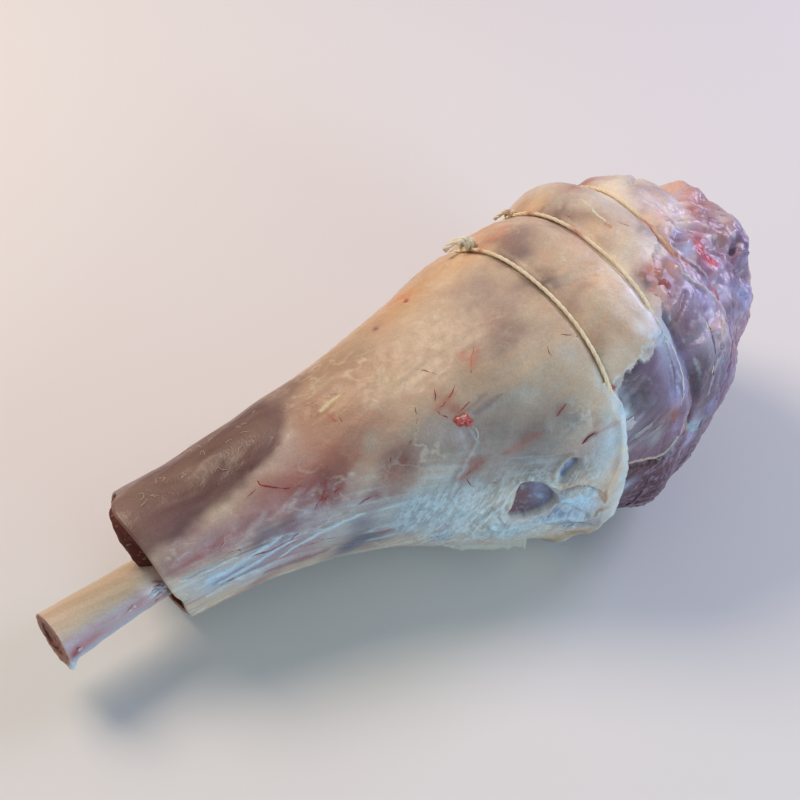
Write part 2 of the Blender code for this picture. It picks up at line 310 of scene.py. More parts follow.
def groove_depth(along, angle):
    """How deep the twine has pressed in: a bell curve across each loop, deeper underneath."""
    under = smooth_steps(UNDER_FROM, UNDER_TO, -np.sin(np.radians(angle)))
    depth = GROOVE_DEPTH + (GROOVE_DEPTH_UNDER - GROOVE_DEPTH) * under
    return sum(depth * np.exp(-(((along - loop) / GROOVE_REACH) ** 2)) for loop in LOOP_STATIONS)


end_ring, _ = skin_points(np.full(90, RUMP_END), np.linspace(0, 360, 90, endpoint=False))
END_MIDDLE = end_ring.mean(0)


def leg_base(along, angle, step=1.0, grooves=1.0):
    """The skin with its grooves. Past the last section, rings shrink by s and bulge by sqrt(1 - s^2)."""
    along, angle = (np.asarray(x, float) for x in np.broadcast_arrays(along, angle))
    on_side = np.minimum(along, RUMP_END)
    points, outward = skin_points(on_side, angle, step)
    points = points - outward * (grooves * groove_depth(on_side, angle))[..., None]
    shrink = np.clip(1 - (along - RUMP_END) / END_RUN, 0, 1)
    points = END_MIDDLE + (points - END_MIDDLE) * shrink[..., None]
    points[..., 0] += END_DEPTH * np.sqrt(1 - shrink**2)
    return points


def unit(vectors):
    """Vectors over their lengths."""
    return vectors / np.linalg.norm(vectors, axis=-1, keepdims=True)


def leg_normal(along, angle, **how):
    """The way out: the cross product of a small move along and a small move round."""
    ahead = leg_base(along + 0.7, angle, **how) - leg_base(along - 0.7, angle, **how)
    around = leg_base(along, angle + 0.9, **how) - leg_base(along, angle - 0.9, **how)
    out = np.cross(ahead, around)
    out[..., 0] += 1e-4
    return unit(out)


print("rump end's middle:", END_MIDDLE.round(1))

# %% [markdown]
# ## Natural irregularity
# Nothing on meat is regular. One noise function, a value for each corner of a lattice blended
# smoothly across its cells, is the source of every wander, mottle and ragged edge below.


# %% Cloud noise
def cloud(points, size, seed):
    """Smooth values between -1 and 1: hashed lattice corners, blended by 3t^2 - 2t^3 on each axis."""
    place = points / size + seed * 7.31
    cell = np.floor(place)
    part = place - cell
    part = part * part * (3 - 2 * part)
    cell = cell.astype(np.int64)
    total = 0.0
    for corner in np.ndindex(2, 2, 2):
        at = (cell + np.array(corner)).astype(np.uint32)
        mixed = at[..., 0] * np.uint32(73856093) ^ at[..., 1] * np.uint32(19349663)
        mixed = mixed ^ at[..., 2] * np.uint32(83492791) ^ np.uint32(seed * 2654435 + 977)
        mixed = (mixed ^ (mixed >> np.uint32(13))) * np.uint32(1274126177)
        mixed = mixed ^ (mixed >> np.uint32(16))
        value = (mixed & np.uint32(0xFFFF)) / 32767.5 - 1
        total = total + value * np.where(np.array(corner) > 0, part, 1 - part).prod(-1)
    return total


# A turn that shares no axis with the lattice, so that no cell shows through as a square.
TUMBLE = np.array([[0.36, 0.48, -0.8], [-0.8, 0.6, 0.0], [0.48, 0.64, 0.6]])


def layers(points, size, seed, count=3):
    """Clouds of halving size and strength, each turned further: sum of cloud(size / 2^k) / 2^k."""
    total = 0.0
    for k in range(count):
        points = points @ TUMBLE
        total = total + cloud(points, size / 2**k, seed + 31 * k) / 2**k
    return total


# %% [markdown]
# ## Places on the leg
# A patch of colour or a crease is laid out in millimetres on the skin: along, and round as an arc.
# Each place carries a small wander, so that no patch comes out as a clean ellipse.


# %% Places, spots and strokes
def place_on(along, angle, **how):
    """Everything later steps ask about places on the leg, as arrays of one shape; arc is round, in mm."""
    along, angle = (np.array(x, float) for x in np.broadcast_arrays(along, angle))
    points = leg_base(along, angle, **how)
    girth = girth_at(np.minimum(along, RUMP_END)) * np.clip(1 - (along - RUMP_END) / END_RUN, 0.05, 1)
    angle = angle_between(angle, 60) + 60
    return {
        "along": along,
        "angle": angle,
        "points": points,
        "girth": girth,
        "arc": np.radians(angle) * girth,
        "wander": [2.4 * layers(points, 12, seed) + 0.5 * cloud(points, 2.5, seed) for seed in (3, 4)],
        "tremble": [0.55 * layers(points, 3.2, seed, 2) for seed in (5, 6)],
    }


def girth_at(along):
    """The mean radius of a cross-section."""
    _, half_width, _, half_height = half_sizes(np.asarray(along, float))
    return (half_width + half_height) / 2


def spot(place, along, angle, reach_along, reach_round, turn=0.0):
    """A soft patch: exp(-(a/reach)^2 - (b/reach)^2), with a and b turned on the skin."""
    ahead = place["along"] + place["wander"][0] - along
    round_leg = np.radians(angle_between(place["angle"], angle)) * place["girth"] + place["wander"][1]
    cosine, sine = np.cos(np.radians(turn)), np.sin(np.radians(turn))
    first = (ahead * cosine + round_leg * sine) / reach_along
    second = (round_leg * cosine - ahead * sine) / reach_round
    return np.exp(-(first**2) - second**2)


def on_skin(place, track, shake=1.0):
    """A track in millimetres (along, arc from its middle angle), and the places' own trembling numbers like it."""
    track = np.array(track, float)
    middle = track[:, 1].mean()
    line = np.stack([track[:, 0], np.radians(track[:, 1] - middle) * girth_at(track[:, 0])], -1)
    ahead = place["along"] + shake * place["tremble"][0]
    round_leg = np.radians(angle_between(place["angle"], middle)) * place["girth"] + shake * place["tremble"][1]
    return line, ahead, round_leg


def stroke(place, track, width):
    """A drawn line: exp(-(distance / width)^2) to a polyline, thinner towards its ends."""
    line, ahead, round_leg = on_skin(place, track)
    margin = 3 * width
    near = (ahead > line[:, 0].min() - margin) & (ahead < line[:, 0].max() + margin)
    near &= (round_leg > line[:, 1].min() - margin) & (round_leg < line[:, 1].max() + margin)
    spots = np.stack([ahead[near], round_leg[near]], -1)
    best, nearest_part = np.full(len(spots), 1e9), np.zeros(len(spots))
    for number, (start, end) in enumerate(zip(line[:-1], line[1:])):
        run = end - start
        part = np.clip((spots - start) @ run / (run @ run + 1e-9), 0, 1)
        away = np.linalg.norm(spots - start - part[:, None] * run, axis=1)
        nearest_part = np.where(away < best, (number + part) / (len(line) - 1), nearest_part)
        best = np.minimum(best, away)
    swell = 0.35 + 0.65 * np.sqrt(np.clip(4 * nearest_part * (1 - nearest_part), 0, 1))
    made = np.zeros(place["along"].shape)
    made[near] = np.exp(-((best / (width * swell)) ** 2))
    return made


def inside(place, outline):
    """Millimetres inside an outline on the skin: the least distance to its sides, signed by crossings."""
    corners, ahead, round_leg = on_skin(place, outline, 0.5)
    best, crossings = np.full(ahead.shape, 1e9), np.zeros(ahead.shape)
    for start, end in zip(corners, np.roll(corners, -1, 0)):
        run = end - start
        part = np.clip(((ahead - start[0]) * run[0] + (round_leg - start[1]) * run[1]) / (run @ run), 0, 1)
        best = np.minimum(best, np.hypot(ahead - start[0] - part * run[0], round_leg - start[1] - part * run[1]))
        spans = (start[1] > round_leg) != (end[1] > round_leg)
        meets = start[0] + (round_leg - start[1]) * run[0] / (run[1] if run[1] else 1e-9)
        crossings = crossings + (spans & (ahead < meets))
    return np.where(crossings % 2 == 1, best, -best)


# %% [markdown]
# ## Where the meat shows
# Fat covers most of the leg. It is cut away below a ragged edge past the first loop, torn open in
# two small holes, and gone from the lumpy rump end. On the shank the muscle is not bare: it shows
# through a thin clear membrane, up to a slanting band of white fascia.

# %% Bare meat and membrane
# The fat's lower edge: along, angle.
FAT_EDGE_LINE = np.array([
    (14, 30), (25, 43), (33, 46), (42, 49), (52, 50), (58, 52), (66, 66), (75, 76), (88, 84), (104, 90), (118, 96),
], float)
FAT_EDGE_UNDER = -118
BARE_FROM = 26
RUMP_BARE_FROM = 116
# Outlines of the holes torn in the fat: along, angle.
FAT_HOLES = (
    (
        (-13.5, 10.5), (-10, 11), (-6, 9.5), (-2, 7), (1, 3), (1.5, -1), (-1, -5), (-4, -7.5), (-10, -10.5),
        (-15.5, -10), (-17, -8), (-15.5, -1), (-15, 5),
    ),
    ((1.5, 9), (1.2, 13), (2.5, 18), (5, 20.5), (8.5, 19.5), (8.5, 16.5), (6, 13), (4, 9.5)),
)
# The silky muscle's lower edge, above a darker coarse one: along, angle.
SILKY_EDGE = np.array([(30, 6), (46, 2), (57, 0), (64, 1), (71, 4), (78, 8), (90, 12), (110, 14)], float)
# Patches of fat left on the rump end: along, angle, reach along, reach round.
RUMP_FAT = ((112, 106, 13, 13), (126, 120, 12, 12), (142, 128, 8, 12), (134, 170, 14, 22), (142, 220, 12, 14))
# The band of white fascia across the shank: along, angle.
FASCIA_LINE = np.array([
    (-158, 50), (-146, 53), (-135, 57), (-123, 62), (-113, 65), (-107, 68), (-97, 78), (-90, 90), (-83, 105),
    (-73, 117), (-49, 130), (-27, 142), (-10, 175),
], float)


def bare_meat(place):
    """1 where the muscle is bare and 0 under fat: signed distances to the edges, plus noise, steepened."""
    along, angle, girth, points = (place[key] for key in ("along", "angle", "girth", "points"))
    edge = np.interp(along, *FAT_EDGE_LINE.T)
    ragged = 1.6 * layers(points, 9, 21) + 1.3 * layers(points, 3.0, 22, 3)
    below = np.radians(edge - angle) * girth + ragged
    above_end = np.radians(angle - FAT_EDGE_UNDER) * girth + 2 * ragged
    past_start = (along - BARE_FROM) * 1.5 + ragged
    side = np.minimum(np.minimum(below, above_end), past_start)
    rump = along - RUMP_BARE_FROM + 2.5 * ragged
    patches = sum(spot(place, *patch) for patch in RUMP_FAT)
    rump = np.minimum(rump, 14 * (0.45 - patches) + 0.8 * ragged)
    bare = smooth_steps(-0.45, 0.45, np.maximum(side, rump))
    for outline in FAT_HOLES:
        bare = np.maximum(bare, smooth_steps(-0.7, 1.3, inside(place, outline)))
    return bare


def torn_film(place):
    """1 on a ragged strip of torn white membrane on the muscle, 1 to 5 mm wide, along the fat's edge."""
    along, points = place["along"], place["points"]
    below = np.radians(np.interp(along, *FAT_EDGE_LINE.T) - place["angle"]) * place["girth"]
    below = below + 1.6 * layers(points, 9, 21) - 2.6 - 2.2 * layers(points, 5.0, 24, 3)
    return smooth_steps(0.5, -0.5, below) * smooth_steps(25, 28, along) * smooth_steps(70, 60, along)


def shank_membrane(place):
    """1 where the shank's muscle shows through membrane: behind the slanting fascia band, softly."""
    along, angle = place["along"], place["angle"]
    beyond = np.radians(angle - np.interp(along, *FASCIA_LINE.T)) * place["girth"] + 0.8 * place["wander"][0]
    round_back = 1 - smooth_steps(205, 232, angle)
    return smooth_steps(-3.0, 5.0, beyond) * round_back * smooth_steps(-58, -94, along + 2.5 * place["wander"][1])


# %% [markdown]
# ## Relief
# Fat is smooth but never flat: broad swells, small lumps, and fibres where it is stretched thin.
# It stands about 2 mm above the muscle beside it. Muscle has long fibres and deep seams between
# its bellies. Each crease is a line on the skin with a depth.

# %% Crinkles
def crinkled(place):
    """0 where fat is plump and 1 where it is stretched to thin wrinkled tissue, low on the front."""
    along, angle = place["along"], place["angle"]
    low = smooth_steps(34, 6, angle + 5 * cloud(place["points"], 16, 33)) * smooth_steps(-100, -60, angle)
    from_shank = smooth_steps(-74, -48, along + 4 * place["wander"][0])
    return low * from_shank * (1 - 0.75 * smooth_steps(14, 22, along))


def crinkles(place):
    """Wrinkles across the leg: sharp crests 0.5 - |cloud| of noise drawn out steeply, in millimetres."""
    along, arc, points = place["along"], place["arc"], place["points"]
    bend = 1.5 * cloud(points, 11, 37)
    drawn = np.stack([(along * 0.36 + arc * 0.93) / 5, along * 0.93 - arc * 0.36 + bend, 0 * bend], -1)
    crests = 0.30 * (0.5 - np.abs(layers(drawn, 2.3, 34, 2)))
    return crinkled(place) * (crests + 0.2 * (0.5 - np.abs(layers(points, 2.6, 35, 2))))


# %% Creases and ridges
# Creases and ridges: width, height (below 0 sinks in), then places (along, angle).
CREASES = (
    (0.7, -1.5, ((-0.5, 6), (3, 3), (8.5, 5), (12.5, 5), (17, 2), (21, -2))),
    (0.8, -0.9, ((6, -4), (11, -8), (16, -12))), (1.3, 1.3, ((1, 1), (5, 0), (10, 1))),
    (1.1, 1.0, ((4, -3), (9, -3), (13, -1))), (0.9, 0.8, ((11, 2), (15, 1), (19, -2))),
    (1.9, 1.5, ((-22, -14), (-16, -18), (-10, -15), (-1, -13), (7, -11), (15, -14), (20, -11))),
    (2.2, -1.2, ((-20, -23), (-10, -21), (0, -19), (10, -18), (20, -20))),
    (0.8, 0.6, ((-20.5, 0), (-23, -6), (-26.5, -9), (-28, -18), (-24, -28))),
    (1.2, -0.6, ((-23, 1), (-25.5, -5), (-29, -9), (-31, -18))),
    (0.7, 0.35, ((-30, 43), (-29, 36), (-34.5, 28), (-39, 16), (-39.5, 10), (-36, 1))),
    (1.6, -0.3, ((-32.5, 43), (-31.5, 36), (-37, 27), (-41.5, 16), (-42, 9))),
    (0.7, 0.6, ((-15, 12), (-18, 6), (-19.5, 0), (-19, -7), (-16, -13))), (0.5, -0.9, ((17.5, 1), (21, -5))),
    (0.5, -0.9, ((20, 2), (21.5, -5))), (0.5, -0.8, ((24.5, -2), (22, -7))), (0.5, -0.8, ((26, -10), (22, -8))),
    (0.5, -0.7, ((18, -12), (21, -8))), (1.6, 0.8, ((27, 89), (34, 87), (43, 86), (50, 82))),
    (1.3, -0.7, ((28, 84), (36, 82), (46, 80))),
    (2.3, -3.2, ((64, 58), (65, 50), (66.5, 43), (69, 35), (72, 28), (76, 20), (80, 10))),
    (2.2, 1.5, ((58, 48), (60, 40), (62, 32), (65, 24), (69, 15), (71, 7))),
    (1.5, -1.7, ((78, 5), (71, 1), (64, -2), (57, -3), (46, -1), (35, 2))),
    (2.0, -0.9, ((68, 45), (78, 44), (90, 46), (100, 48))), (1.5, -1.3, ((62, 57), (66, 54), (74, 56), (84, 60))),
    (1.1, 1.2, ((84, 68), (92, 60), (99, 54), (105, 48), (109, 42))),
    (1.0, 0.9, ((92, 72), (98, 64), (103, 58), (107, 50))),
    (1.7, -2.0, ((92, 78), (99, 72), (106, 62), (111, 52), (113, 42), (108, 28), (100, 16))),
    (1.7, -1.8, ((97, 88), (108, 84), (118, 78), (126, 66), (131, 52), (133, 38))),
    (2.2, -3.6, ((122, 97), (124, 104), (126, 112), (128, 122), (130, 134))),
    (1.7, -1.8, ((118, 99), (128, 95), (136, 90), (142, 84))),
    (1.3, 1.4, ((112, 70), (119, 66), (126, 63), (133, 61), (140, 61))), (1.5, -1.6, ((138, 52), (146, 44), (150, 28))),
    (1.8, -1.8, ((100, 112), (110, 118), (118, 128), (122, 142), (120, 160))),
    (1.5, -1.6, ((96, -6), (88, -20), (84, -34), (86, -50), (96, -66))),
    (1.3, -1.2, ((88, 44), (95, 36), (99, 26), (97, 12), (90, 4))),
    (1.0, 0.9, ((84, 22), (89, 30), (93, 34), (99, 36))),
    (1.2, -1.0, ((-150, 24), (-132, 22), (-116, 20), (-100, 14), (-86, 12))),
    (1.0, -0.8, ((-146, -6), (-124, -4), (-104, -6), (-84, -14), (-64, -24))),
    (0.9, 0.7, ((-154, 8), (-136, 9), (-118, 12), (-98, 15), (-80, 17))),
    (1.1, -0.9, ((-155, -24), (-136, -26), (-112, -30), (-90, -36))),
)

# Lumps and dents: along, angle, reach along, reach round, height and, if turned, the turn.
LUMPS = (
    (64, 70.5, 2.6, 2.6, 1.3), (71, 66, 2.4, 2.6, 1.4), (81.5, 68, 3.6, 3.8, 2.0), (93.5, 88, 4, 4, 1.8),
    (87, 90, 3, 3, 1.3), (131, 100, 5, 4, 1.8), (125, 97, 3, 3, 1.2), (91, 42, 3.4, 2.6, 1.4), (101, 76, 3, 2.6, 1.6),
    (97, 70, 3, 2.4, -1.4), (106, 70, 4, 2.4, 1.0, 20), (114, 84, 4, 3, 1.2), (120, 70, 4, 2.6, -1.6),
    (128, 86, 4, 3, -1.6), (104, 97, 4, 3.4, -0.9), (111, 104, 4, 4, 1.2), (142, 74, 9, 9, 3.2), (139, 113, 8, 12, 4.2),
    (137, 95, 8, 6, -1.2), (133, 46, 9, 8, 3.0), (124, 90, 7, 7, 1.8), (133.5, 66, 4.0, 2.6, -5.5, 30),
    (130, 57.5, 4.0, 2.2, -5.0, 20), (137, 54, 4, 4, -3.5), (134, 54, 3.5, 3.5, -3.6), (141, 63, 6, 6, 2.2),
    (138, 33, 6, 6, 1.6), (126, 30, 6, 4, -2.0), (127, 114, 3.5, 6, -1.6), (121, 76, 6, 6, 1.8), (110, 62, 5, 4, 1.2),
    (118, 54, 6, 6, 1.8), (104, 34, 8, 8, 2.2, 30), (90, 40, 9, 9, 2.0), (76, 38, 8, 13, 1.6), (86, 56, 8, 6, 1.2, 20),
    (116, 20, 8, 9, 2.0), (128, 26, 7, 8, 1.8), (150, 62, 5, 8, 1.6), (146, 92, 5, 8, 1.4), (98, 88, 3.5, 4, 1.6),
    (93, 92, 3, 3, 1.1), (97, 81, 3, 4, -1.0), (104, 88, 4, 3, 1.1), (108, 97, 4, 5, 1.2), (122, 62, 4, 3, 1.4),
    (100, -20, 12, 10, 1.6), (70, -16, 12, 8, 1.2), (5, 0, 4, 2.6, 1.4), (11, -1, 4, 2.6, 1.2, 10),
    (13, -7, 4.5, 3, 1.0), (8, -14, 8, 4, 0.8), (15, 9, 4, 4, 0.8), (10, 12, 3, 4, -0.9), (21, 4, 3, 5, 0.9),
    (-20, 12, 8, 4, 0.6, 40), (-30, -18, 14, 5, 0.9), (-44, 58, 22, 7, 0.9, 15), (-20, 46, 16, 5, -0.9, 15),
    (-16, 36, 12, 4, 0.7, 15), (-60, 40, 20, 6, 0.6, 10), (-2, 62, 18, 8, 0.8, 10), (-26, 84, 20, 8, -0.6, 5),
    (0, 92, 10, 7, -0.7), (10, 141, 15, 14, 2.6), (18, -37, 17, 12, -4.6), (86, 40, 14, 9, 2.2, 20),
    (84, 22, 12, 8, 1.6), (112, 118, 7, 9, 1.2), (40, 74, 8, 10, 0.9), (50, 92, 5, 8, 0.8), (36, 106, 5, 8, -0.9),
    (46, 108, 4, 9, 0.9), (66, 96, 5, 6, 0.9), (76, 100, 5, 8, -0.8), (72, 84, 4, 5, 0.8), (82, 92, 4, 6, 0.9),
    (-100, 30, 24, 5, -0.9, 8), (-128, 40, 22, 6, 0.8), (-122, 70, 30, 7, -0.5), (-110, 95, 26, 7, 0.5),
)
# Where each loop of twine lies open: it fades under fat or membrane between these angles.
LOOP_SHOWS = ((30, 38), (54, 66), (68, 80))
COVER_PART = 0.95


def covered(loop, angle):
    """1 where a loop runs under fat or membrane, 0 where it lies open."""
    low, high = LOOP_SHOWS[LOOP_STATIONS.index(loop)]
    return (1 - smooth_steps(low, high, angle)) * smooth_steps(-95, -75, angle)


def slanting(place, draw):
    """Places drawn out along the muscle's own fibres, which climb the leg at 32 degrees and bend a little."""
    along, arc = place["along"], place["arc"]
    bend = 2.5 * cloud(place["points"], 22, 36)
    return np.stack([(along * 0.85 + arc * 0.53) / draw, arc * 0.85 - along * 0.53 + bend, 0 * arc], -1)


def relief(place, fat=False):
    """Millimetres out from the CAD skin: swells, the step from fat to muscle, fibres and creases."""
    points, along, angle = place["points"], place["along"], place["angle"]
    bare, membrane = (0 * along if fat else bare_meat(place)), shank_membrane(place)
    clear = 1 - membrane
    stretched = np.stack([along / 9, place["arc"], 0 * along], -1)
    height = 0.55 * layers(points, 26, 41, 2) + 0.16 * layers(points, 6, 42, 2) * clear
    height += membrane * 0.12 * layers(stretched, 4.5, 43, 2)
    height += 0.10 * layers(points, 2.6, 48, 2) * clear + 0.16 * layers(slanting(place, 7), 3.4, 49, 2)
    fibrous = (0.10 * smooth_steps(60, 10, angle) + 0.02) * (1 - 0.8 * crinkled(place))
    height += fibrous * layers(stretched, 1.7, 44, 2) * clear
    height += crinkles(place) * clear * (1 - bare)
    height -= bare * (2.0 - 1.5 * smooth_steps(82, 98, along))
    height += 2 * bare * (1 - bare) * smooth_steps(96, 80, along)
    grain = smooth_steps(-2, -14, angle) * smooth_steps(40, 46, along)
    grain_height = 0.4 * layers(slanting(place, 2), 1.9, 50, 2)
    height += bare * (0.14 * layers(slanting(place, 8), 3.2, 45, 2) + grain * grain_height)
    height += 0.8 * bare * torn_film(place)
    lumps = 0.9 * layers(points, 13, 46, 2) + 0.3 * layers(points, 4.5, 47, 2) - 0.8
    for rise, size, seed in ((1.5, 11, 52), (0.45, 3.6, 53)):
        lumps += rise * np.sqrt(np.abs(cloud(points @ TUMBLE, size, seed)))
    height += smooth_steps(86, 102, along) * lumps
    for width, rise, track in CREASES:
        height += rise * stroke(place, track, width)
    for outline in FAT_HOLES:
        within = inside(place, outline)
        height += 0.9 * np.exp(-(((within + 1.1) / 0.9) ** 2)) - 1.9 * smooth_steps(-0.5, 5.0, within)
    for lump_along, lump_angle, reach, reach_round, rise, *turn in LUMPS:
        height += rise * spot(place, lump_along, lump_angle, reach, reach_round, *turn)
    near_loop = sum(
        np.exp(-(((along - loop) / 2.6) ** 2)) * smooth_steps(low, high, angle)
        for loop, (low, high) in zip(LOOP_STATIONS, LOOP_SHOWS)
    )
    height *= 1 - 0.85 * np.clip(near_loop, 0, 1)
    for loop in LOOP_STATIONS:
        filled = covered(loop, angle) * groove_depth(along, angle) * COVER_PART
        height += filled * np.exp(-(((along - loop) / 3.5) ** 2))
    return height * (1 - 0.7 * np.exp(-(((along - SHANK_END) / 3.0) ** 2)))


def leg_surface(along, angle, lift=0.0, fat=False, **how):
    """Points of the finished skin in the leg's millimetres, raised by lift along its normals."""
    place = place_on(along, angle, **how)
    out = leg_normal(place["along"], place["angle"], **how)
    points = place["points"] + out * (relief(place, fat) + lift)[..., None]
    points[..., 2] = np.maximum(points[..., 2], 0)
    return points, out, place


# %% [markdown]
# ## Painting the skin
# A leg's colour has no repeat: cream fat, greyish where it is thin over muscle, blue-white fibres
# near the shank, blood in streaks and dots. So it is painted on: soft patches first, then strokes.

# %% Patches of colour
# Patches: along, angle, reach along, reach round, colour, strength and, if turned, the turn.
PATCHES = (
    (-20, 126, 45, 13, "#CC9C6C", 0.75), (12, 126, 14, 10, "#DDBB96", 0.8), (21, 124, 5, 4, "#D89A80", 0.6),
    (-52, 96, 16, 16, "#C6A384", 0.6), (-70, 92, 14, 14, "#B89478", 0.6), (-88, 76, 14, 12, "#B08A74", 0.7),
    (-78, 62, 16, 12, "#AB7D68", 0.8), (-60, 62, 13, 10, "#B48E78", 0.6), (-86, 44, 12, 7, "#97604F", 0.75, 10),
    (-68, 60, 9, 9, "#9C7262", 0.7), (-98, 44, 16, 8, "#A4796A", 0.6), (-120, 36, 22, 6, "#9A6E62", 0.6),
    (-20, 62, 16, 12, "#B39A84", 0.8, -20), (-12, 74, 9, 8, "#A9958A", 0.5), (7, 103, 9, 10, "#9C8680", 0.7),
    (1, 92, 9, 9, "#A38C80", 0.65), (6, 72, 10, 9, "#A99488", 0.6), (10, 86, 6, 6, "#948080", 0.5),
    (-44, 46, 12, 9, "#92857A", 0.8, 10), (-36, 38, 14, 8, "#8A8078", 0.75, 10), (-19, 40, 16, 12, "#837C7A", 0.9, 10),
    (-4, 30, 16, 10, "#87807C", 0.85, 10), (-8, 48, 14, 9, "#9A9186", 0.7), (8, 52, 10, 9, "#A89A8A", 0.5),
    (-30, 16, 22, 10, "#96A2A6", 0.75), (-50, 8, 22, 12, "#98A6AC", 0.8), (-52, -10, 18, 10, "#8E9CA4", 0.75),
    (-34, -6, 18, 10, "#9CAEB4", 0.8), (-14, -22, 16, 10, "#93A6AC", 0.8), (-80, 10, 16, 9, "#9BA2A4", 0.7),
    (-102, 24, 16, 6, "#7E7076", 0.6), (-128, 6, 26, 8, "#97A8B6", 0.9), (-100, 4, 22, 8, "#A2A8B2", 0.7),
    (-108, -6, 22, 6, "#A08E98", 0.6), (16, 20, 7, 10, "#B4BFC4", 0.8), (18, 34, 6, 8, "#C2C0B8", 0.6),
    (12, -6, 9, 8, "#98A8B4", 0.75), (22, -14, 7, 8, "#A4ACB0", 0.7), (38, 112, 8, 9, "#8F7A76", 0.85),
    (33, 104, 7, 7, "#8C7874", 0.6), (38, 122, 4, 5, "#C98A70", 0.7), (31, 120, 4, 6, "#CB8468", 0.6, 20),
    (44, 96, 10, 7, "#C6AE94", 0.6), (27, 88, 5, 6, "#8E7C78", 0.7), (34, 62, 10, 12, "#B59A80", 0.75),
    (46, 78, 9, 8, "#DDBFA0", 0.7), (56, 64, 6, 8, "#D3C6BC", 0.6), (62, 110, 5, 9, "#9C877F", 0.8),
    (66, 96, 6, 6, "#C98F76", 0.6), (72, 92, 6, 7, "#D8C6A4", 0.6), (62, 126, 5, 7, "#E0BC92", 0.7),
    (-106, 28, 12, 6, "#7E5F5E", 0.75), (-86, 43, 8, 6, "#8A5A4E", 0.8), (-78, 104, 10, 10, "#AB8C7B", 0.7),
    (-98, 70, 10, 8, "#A88D7F", 0.8, 20), (-129, 44, 16, 7, "#A88C80", 0.85, 8), (-98, 53, 8, 5, "#A2665A", 0.8, 20),
    (-91, 45, 7, 5, "#91504A", 0.75, 20), (-110, 52, 8, 5, "#AC7466", 0.7, 15), (-118, 44, 8, 4, "#9C6660", 0.7, 10),
    (-84, 58, 8, 6, "#A8705E", 0.7), (-106, 24, 12, 3.0, "#766674", 0.6, 8), (-90, 18, 8, 3.0, "#80747C", 0.5, 8),
    (-140, 40, 12, 6, "#A58478", 0.7), (-112, 66, 14, 5, "#BCA898", 0.8, 25), (-94, 82, 9, 5, "#B8A698", 0.7, 35),
    (-80, 10, 9, 7, "#969A9C", 0.6), (-64, 18, 8, 6, "#99958F", 0.6), (-56, 43, 7, 6, "#93756A", 0.6),
    (-42, 128, 12, 12, "#B4997E", 0.6), (-64, 104, 10, 10, "#AC937C", 0.6), (17, 91, 5, 5, "#9E877C", 0.6),
    (1, 83, 7, 6, "#A5897A", 0.6), (-19, 64, 8, 6, "#B0977F", 0.6), (-36, 60, 5, 5, "#AE7F6B", 0.5),
    (15, 16, 6, 7, "#BCC6CA", 0.8), (20, 29, 5, 7, "#C2C4C4", 0.75), (-16, -20, 9, 6, "#93AAB0", 0.6),
    # The pale blue spots at (5, 0) and (11, -1) lie on the lumps beside the torn hole: painted highlights.
    (12, -10, 8, 5, "#9FB2C0", 0.6), (5, 0, 5, 3, "#A6C2D6", 0.8), (11, -1, 5, 3, "#AFC6D2", 0.7),
    (31, 106, 4, 6, "#8A7472", 0.6), (50, 93, 6, 7, "#DFC4AC", 0.7), (46, 78, 7, 7, "#E2C4A6", 0.8),
    (44, 64, 6, 5, "#D8C2B0", 0.8), (49, 57, 5, 4, "#DCD2CC", 0.9), (31, 62, 6, 5, "#B6977E", 0.5),
    (34, 52, 5, 4, "#C6B6A6", 0.7), (93, 119, 7, 8, "#E8D8CA", 0.8), (97, 133, 6, 8, "#C99C94", 0.7),
    (104, 107, 5, 6, "#C0ACB4", 0.7), (80, 94, 6, 7, "#CEBCB4", 0.6), (71, 104, 6, 10, "#D6C0A4", 0.6),
    (66, 88, 5, 6, "#DCCDB8", 0.8), (74, 78, 6, 5, "#DCD0C6", 0.8), (67, 77, 4, 3, "#DAB4A4", 0.6),
    (64, 112, 4, 7, "#A48E86", 0.6), (126, 118, 7, 7, "#DDBBA6", 0.7), (140, 116, 7, 8, "#DEA898", 0.6),
    (120, 110, 6, 7, "#DCC6C4", 0.7), (-72, -15, 12, 10, "#5E5C6A", 0.9), (-52, 3, 9, 7, "#7C8892", 0.6),
    (-71, 21, 7, 4, "#7C5656", 0.8), (-59, 36, 6, 5, "#845E58", 0.7), (-29, 27, 5, 3.5, "#80584E", 0.7, 10),
    (-11, 22, 7, 6, "#6E6663", 0.8), (-5, 15, 7, 4, "#76767A", 0.7), (-1, 20, 4, 4, "#74706E", 0.6),
    (-11, 15, 6, 4, "#6E6C6C", 0.6), (10, 17, 4, 4, "#A09284", 0.7), (11, -17, 8, 5, "#6E7884", 0.8),
    (2, -15, 6, 3, "#7C8C9A", 0.6), (-91, 16, 7, 4, "#ACAAAC", 0.6), (-102, 15, 6, 3, "#A4A0A8", 0.5),
    (-96, 62, 9, 7, "#B48F80", 0.5), (-72, 91, 8, 8, "#A88468", 0.5), (-55, 93, 8, 7, "#AC8468", 0.5),
    # The pale spots on this line run along the second loop: the pale ridge beside the twine, made lighter as painted
    # light against the twine's shadow.
    (57, 70, 3, 9, "#E6DEDA", 0.9), (57, 58, 3, 6, "#DCD8DE", 0.9), (53, 53, 4, 3, "#DEDCE4", 0.8),
    (27, 30, 2.5, 8, "#CCE0EA", 0.8), (24.5, 38, 2.5, 3, "#E2EAEC", 0.8), (70, 74, 3, 3, "#94706C", 0.7),
    (54, 79, 5, 6, "#E6D2BE", 0.7), (28, 130, 4, 6, "#DCA888", 0.7), (92, 136, 7, 10, "#AC8078", 0.8),
    (61, 137, 6, 9, "#C0906C", 0.8), (62, 117, 5, 7, "#96786C", 0.8), (28, 108, 6, 7, "#8E7468", 0.7),
    (88, 111, 6, 6, "#E4D6C4", 0.8), (66, 71, 4, 3, "#945F5C", 0.8), (63, 68, 3, 3, "#7E5650", 0.8),
    (-158, 90, 4, 20, "#9A7254", 0.8), (-50, 170, 60, 34, "#BFA084", 0.5), (10, 200, 40, 40, "#B59A86", 0.4),
    (-100, 250, 60, 26, "#A8928C", 0.5),
)
